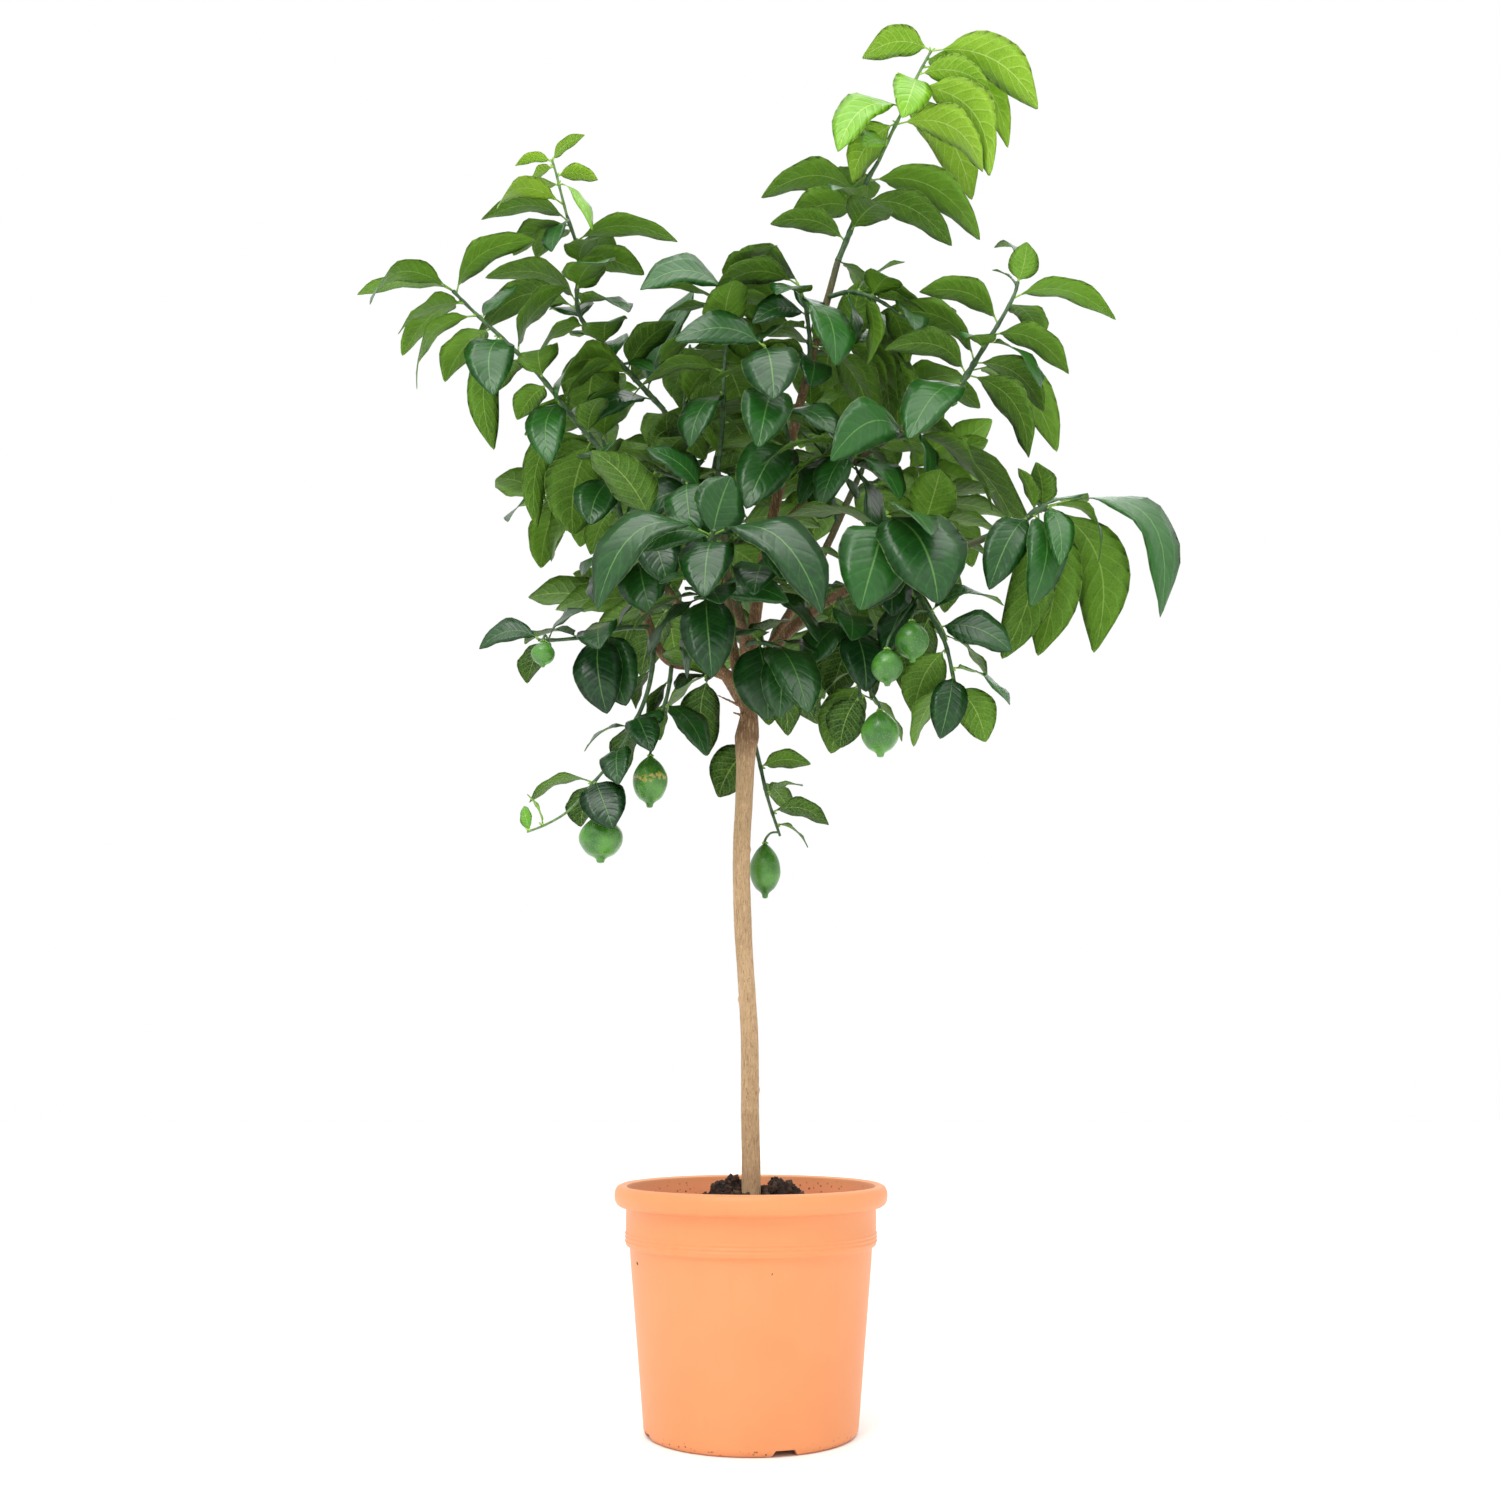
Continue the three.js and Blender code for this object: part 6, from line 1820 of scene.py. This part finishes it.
@dataclass
class NurseryPot:
    """The tapered pot with its collar, rolled rim, foot notches and drain holes. Sizes in mm.

    shoulder, collar_foot, collar_head, lip: fine steps of the profile, as (radius, z) from a corner of it.
    """

    rim: float = 125
    height: float = 213
    wall: float = 2.4
    floor: float = 2.5
    foot_height: float = 6.5
    segments: int = 192
    foot: float = 91
    foot_inner: float = 86
    body_start: float = 7
    body_low: float = 96
    body_high: float = 109.5
    body_top: float = 147
    collar: float = 114.3
    collar_low: float = 162
    collar_high: float = 194.5
    centre_foot: float = 14
    slope: float = 1.5
    ease: float = 4
    foot_turns: Row = (0.25, 0.5, 0.75, 1.0, 1.25, 1.42)
    shoulder: tuple[Row, ...] = ((0.6, -6), (1, -3.4), (2.2, -2.2))
    collar_foot: tuple[Row, ...] = ((-1, -1.5), (-0.3, -0.6))
    collar_head: tuple[Row, ...] = ((0, -12), (0, -1.2), (0.6, -0.3), (1.8, 0))
    lip: tuple[Row, ...] = ((3.5, -0.25), (-0.4, -1.3), (-1.4, -3.4))
    notches: int = 4
    notch_turn: float = 17.5
    notch_wide: float = 25
    notch_narrow: float = 17
    notch_height: float = 5.4
    notch_span: Row = (-8, 16)
    drains: int = 4
    drain_radius: float = 6
    drain_ring: float = 58
    drain_span: Row = (-4, 20)
    drain_sides: int = 24
    ribs: int = 3
    rib_pitch: float = 3.4
    rib_height: float = 0.75
    rib_base: float = 0.2
    rib_start: float = 162.6
    rib_steps: int = 6
    bead_depth: float = 5.5
    bead_start: float = -0.97
    bead_steps: int = 14
    crease: float = 38

    @staticmethod
    def corner(radius: float, z: float, steps: Sequence[Row]) -> list[Row]:
        """The fine steps of the profile at a corner of it."""
        return [(radius + out, z + up) for out, up in steps]

    def bead(self) -> list[Row]:
        """Draws the rolled rim: a fat round bead that overhangs the collar.

        Returns:
            Its (radius, z), upwards.
        """
        middle, half = (self.height + self.collar_high) / 2, (self.height - self.collar_high) / 2
        rises = [self.bead_start + (1 - self.bead_start) * i / self.bead_steps for i in range(self.bead_steps + 1)]
        return [(self.rim - self.bead_depth * (1 - math.sqrt(max(0.0, 1 - rise * rise))), middle + half * rise)
                for rise in rises]

    def collar_wall(self) -> list[Row]:
        """Draws the outside of the collar, with the fine ribs along its lower edge.

        Returns:
            Its (radius, z), upwards.
        """
        made = self.corner(self.collar, self.collar_low, self.collar_foot)
        for i in range(self.ribs * self.rib_steps + 1):
            rise = self.rib_height * (1 - math.cos(i * 2 * math.pi / self.rib_steps)) / 2 - self.rib_base
            made.append((self.collar + rise, self.rib_start + self.rib_pitch * i / self.rib_steps))
        return made + self.corner(self.collar, self.collar_high, self.collar_head)

    def profile(self) -> list[Row]:
        """Draws the whole profile, up the outside, over the rim and down the inside.

        Returns:
            Its (radius, z).
        """
        start, base = self.body_start, self.foot_height + self.floor
        foot_curve = [(self.foot + (self.body_low - self.foot) * math.sin(a), start * (1 - math.cos(a)))
                      for a in self.foot_turns]
        body = [(self.body_low + (self.body_high - self.body_low) * share, start + (self.body_top - start) * share)
                for share in (0.0, 0.25, 0.5, 0.75, 1.0)]
        return [
            (0, 0), (self.centre_foot, 0), (self.centre_foot + self.slope, self.foot_height),
            (self.foot_inner - self.slope, self.foot_height), (self.foot_inner, 0), (self.foot, 0), *foot_curve,
            *body, *self.corner(self.body_high, self.collar_low, self.shoulder), *self.collar_wall(), *self.bead(),
            *self.corner(self.collar, self.height, self.lip),
            (self.collar - self.wall - self.rib_base, self.collar_high - self.wall - self.ease),
            (self.body_high - self.wall, self.body_top + self.ease), (self.body_low - self.wall, base + self.ease),
            (self.foot_inner, base), (0, base)]

    def cutters(self) -> Object:
        """Makes what is cut out: foot notches and drain holes.

        Returns:
            The cutters, as one object.
        """
        parts = []
        wide, narrow, first = self.notch_wide / 2, self.notch_narrow / 2, math.radians(self.notch_turn)
        outline = ((-wide, -1.0), (-narrow, self.notch_height), (narrow, self.notch_height), (wide, -1.0))
        notch = np.array([(x, y - self.foot, z) for y in self.notch_span for x, z in outline])
        for i in range(self.notches):
            turn = first + i * 2 * math.pi / self.notches
            cosine, sine = math.cos(turn), math.sin(turn)
            parts.append((notch @ np.array(((cosine, sine, 0), (-sine, cosine, 0), (0, 0, 1))), ring_faces(2, 4)))
        for i in range(self.drains):
            turn = first - math.pi / 2 + (i + 0.5) * 2 * math.pi / self.drains
            centre = np.array((math.cos(turn), math.sin(turn), 0)) * self.drain_ring
            path = np.array([centre + UP * z for z in self.drain_span])
            parts.append(tube(path, np.full(2, self.drain_radius), self.drain_sides))
        return new_object("pot_cutters", *joined(parts))

    def build(self) -> None:
        """Turns, cuts and dresses the pot."""
        piece = new_object("nursery_pot", *lathe(self.profile(), self.segments))
        cutters = self.cutters()
        cut = piece.modifiers.new("cut", "BOOLEAN")
        cut.operation, cut.object, cut.solver = "DIFFERENCE", cutters, "EXACT"
        apply_modifiers(piece)
        bpy.data.objects.remove(cutters)
        piece.data.set_sharp_from_angle(angle=math.radians(self.crease))
        piece.data.materials.clear()
        fit_to_frame(piece, "pot_plastic", "pot", PLASTIC)


class LitterTree(GrowthTree):
    """Geometry Nodes that strew crumbs, clods and fibres over a surface, as thick as its litter attribute says."""

    def __init__(self) -> None:
        """Writes the tree."""
        super().__init__("litter", {
            "Crumbs per m2": 160000.0, "Clods": 0.1, "Fibres per m2": 34000.0, "Smallest": 0.0003, "Largest": 0.0014,
            "Dents": 1.6, "Seed": 3, "Crumb Material": "Material"})
        _, density, clod_share, fibres, smallest, largest, _, seed, *_ = self.given.values()
        ball = self.add("GeometryNodeMeshIcoSphere", {"Radius": 1.0, "Subdivisions": 1})
        crumbs = self.strew(ball, density, seed, smallest, largest, (1.5, 1.0, 0.7))
        clods = self.strew(ball, density * clod_share, seed + 7, largest * 1.1, largest * 3.0, (1.4, 0.8, 0.8))
        cone = self.add("GeometryNodeMeshCone", {
            "Vertices": 4, "Side Segments": 1, "Fill Segments": 1, "Radius Top": 0.05, "Radius Bottom": 0.12,
            "Depth": 3.2})
        strands = self.strew(cone, fibres, seed + 1, smallest * 2, largest * 1.4, (0.7, 0.7, 1.0))
        self.finish(self.merge(self.host, self.dress(self.merge(crumbs, clods, strands), "Crumb Material")))

    def strew(self, part: Field, density: Field, seed: Field, smallest: Field, largest: Field, form: Row) -> Field:
        """Strews a part over the host at random.

        Args:
            part: the part.
            density: how many to a square metre.
            seed: the seed of the random numbers.
            smallest: the smallest size.
            largest: the largest size.
            form: its proportions.

        Returns:
            The litter.
        """
        spread = self.add("GeometryNodeDistributePointsOnFaces", {
            "Mesh": self.host, "Density": density * self.attribute("litter"), "Seed": seed}, "Points")
        turn = self.add("FunctionNodeRandomValue", {"Min": (0.0,) * 3, "Max": (6.28,) * 3, "Seed": seed},
                        data_type="FLOAT_VECTOR")
        size = self.add("FunctionNodeRandomValue", {"Min": smallest, "Max": largest, "Seed": seed + 5},
                        data_type="FLOAT")
        real = self.realize(self.add("GeometryNodeInstanceOnPoints", {
            "Points": spread, "Instance": part, "Scale": self.combine(*(size * share for share in form)),
            "Rotation": self.add("FunctionNodeEulerToRotation", {"Euler": turn})}))
        dent = self.add("ShaderNodeTexNoise", {
            "Vector": self.add("GeometryNodeInputPosition"), "Scale": 420.0, "Detail": 1.0}, "Color") - 0.5
        return self.add("GeometryNodeSetPosition", {
            "Geometry": real, "Offset": dent * (largest * self.given["Dents"])})


@dataclass
class PottingPeat:
    """The peat in the pot, mounded round the trunk and strewn with crumbs and fibres. Sizes in mm.

    lumps: (x, y, height, spread). clods: (size, height). heap: (radius, width) of the ring with most litter, then
    how much lies everywhere and how much more there.
    """

    pot: NurseryPot
    low: float = 185
    rise: float = 15
    spread: float = 46
    waves: Row = (2.6, 0.11, 0.13, 0.05)
    lumps: tuple[Row, ...] = (
        (-20, 6, 16, 11), (-33, 2, 15, 9), (-14, 14, 12, 9), (30, 4, 15, 10), (20, 8, 12, 9), (43, 2, 13, 9),
        (8, 18, 9, 10), (-48, 10, 11, 8), (56, 6, 9, 7), (74, 10, 9, 8), (-70, 22, 8, 9), (-8, -24, 8, 12))
    clods: tuple[Row, ...] = ((8, 3.4), (3.4, 3.6), (1.7, 2.2))
    heap: Row = (22, 24, 0.35, 1.3)
    inset: float = 4.3
    first_bend: float = 20
    bulge: float = 2.6
    rings: int = 96
    segments: int = 200

    def top(self, x: float, y: float) -> float:
        """Works out the height of the peat.

        Args:
            x: the place to the right.
            y: the place to the back.

        Returns:
            The height there.
        """
        z = self.low + self.rise * math.exp(-((math.hypot(x, y) / self.spread) ** 2))
        height, right, back, slant = self.waves
        z += height * math.sin(x * right + 1) * math.cos(y * back + x * slant)
        for lump_x, lump_y, height, spread in self.lumps:
            z += height * math.exp(-((x - lump_x) ** 2 + (y - lump_y) ** 2) / spread ** 2)
        return z + sum(noise.noise(Vector((x / size, y / size, size))) * height for size, height in self.clods)

    def wall_at(self, z: float) -> float:
        """The radius of the peat's side at a height, inside the pot's wall."""
        share = (z - self.pot.body_start) / (self.pot.body_top - self.pot.body_start)
        return self.pot.body_low + (self.pot.body_high - self.pot.body_low) * share - self.inset

    def block(self) -> Object:
        """Makes the peat as a closed solid with an uneven top.

        Returns:
            The block.
        """
        pot, bottom = self.pot, self.pot.foot_height + self.pot.floor + 0.3
        edge = self.wall_at(pot.body_top) + self.bulge
        points, faces = lathe([
            (0.0, bottom), (pot.foot_inner - pot.slope, bottom), (self.wall_at(self.first_bend), self.first_bend),
            (self.wall_at(pot.body_top), pot.body_top - pot.ease),
            *((edge * (1 - i / self.rings) ** 0.9, self.low) for i in range(self.rings)), (0.0, self.low)],
            self.segments)
        upper = np.abs(points[:, 2] - self.low) < 0.01
        points[upper, 2] = [self.top(x, y) for x, y in points[upper, :2]]
        return new_object("potting_peat", points, faces)

    def build(self) -> None:
        """Makes the peat, strews it and dresses it."""
        piece = self.block()
        places, (ring, width, even, more) = places_of(piece.data) / MM, self.heap
        heaps = even + more * np.exp(-((np.hypot(places[:, 0], places[:, 1]) - ring) / width) ** 2)
        set_attribute(piece.data, "litter", np.where(places[:, 2] > self.low - 8, heaps, 0))
        piece.data.materials.append(PEAT.material())
        LitterTree().run(piece, {"Crumb Material": CRUMBS.material()})
        fit_to_frame(piece, "peat_soil", "soil")


# ---- studio

@dataclass
class Studio:
    """A pale floor and soft light, and the camera of the front view. Sizes in metres.

    The white walls shine by ambient, and more towards the ceiling. softboxes: (name, place, target, size, power,
    colour).
    """

    sensor_mm: float = 36.0
    clip: Row = (0.05, 60)
    half_floor: float = 7.0
    ambient: float = 1.0
    ceiling: float = 2.2
    ceiling_heights: Row = (0.74, 0.97)
    softboxes: tuple[tuple[str, Row, Row, float, float, Row], ...] = (
        ("front_softbox", (-1.0, -2.4, 3.2), (0, 0, 0.5), 1.6, 48, (1, 1, 1)),
        ("back_softbox", (0.8, 3.0, 2.8), (0, 0, 0.9), 2.2, 16, (0.93, 0.97, 1.0)))

    def build(self) -> None:
        """Lays the floor and sets the lamps, the white walls and the camera."""
        scene = bpy.context.scene
        scene.view_settings.view_transform = "Standard"
        corners = np.array([(-1, -1, 0), (1, -1, 0), (1, 1, 0), (-1, 1, 0)]) * (self.half_floor / MM)
        floor = new_object("studio_floor", corners, [(0, 1, 2, 3)])
        floor.data.materials.append(FLOOR.material())
        for name, place, target, size, power, colour in self.softboxes:
            lamp = bpy.data.lights.new(name, "AREA")
            lamp.shape, lamp.size, lamp.energy, lamp.color = "DISK", size, power, colour
            made = bpy.data.objects.new(name, lamp)
            made.location = place
            made.rotation_euler = (Vector(target) - Vector(place)).to_track_quat("-Z", "Y").to_euler()
            scene.collection.objects.link(made)
        world = scene.world = bpy.data.worlds.new("studio")
        world.use_nodes = True
        w = NodeWriter(world.node_tree)
        height = w.split(w.add("ShaderNodeTexCoord", out="Generated"))[2]
        background = w.tree.nodes["Background"]
        background.inputs["Color"].default_value = (1, 1, 1, 1)
        w.feed(background.inputs["Strength"], height.step(*self.ceiling_heights) * self.ceiling + self.ambient)
        lens = bpy.data.cameras.new("front_camera")
        lens.sensor_width = self.sensor_mm
        lens.lens = self.sensor_mm * VIEW.focal / VIEW.picture
        lens.shift_x = (VIEW.picture / 2 - VIEW.centre_u) / VIEW.picture
        lens.clip_start, lens.clip_end = self.clip
        camera = bpy.data.objects.new("front_camera", lens)
        camera.location = (0, -VIEW.distance * MM, VIEW.eye * MM)
        camera.rotation_euler = (math.pi / 2 + VIEW.tilt, 0, 0)
        scene.collection.objects.link(camera)
        scene.camera = camera


# ---- the whole tree

def main() -> None:
    """Builds the tree's looks round its solids."""
    logging.basicConfig(level=logging.INFO, format="%(name)s: %(message)s")
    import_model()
    crown = Crown()
    crown.grow()
    pot = NurseryPot()
    pot.build()
    PottingPeat(pot).build()
    Wood().build()
    LeafyShoots().build(crown.shoots)
    for plan in LEMONS:
        Fruit(plan).build()
    Studio().build()


if __name__ == "__main__":
    main()
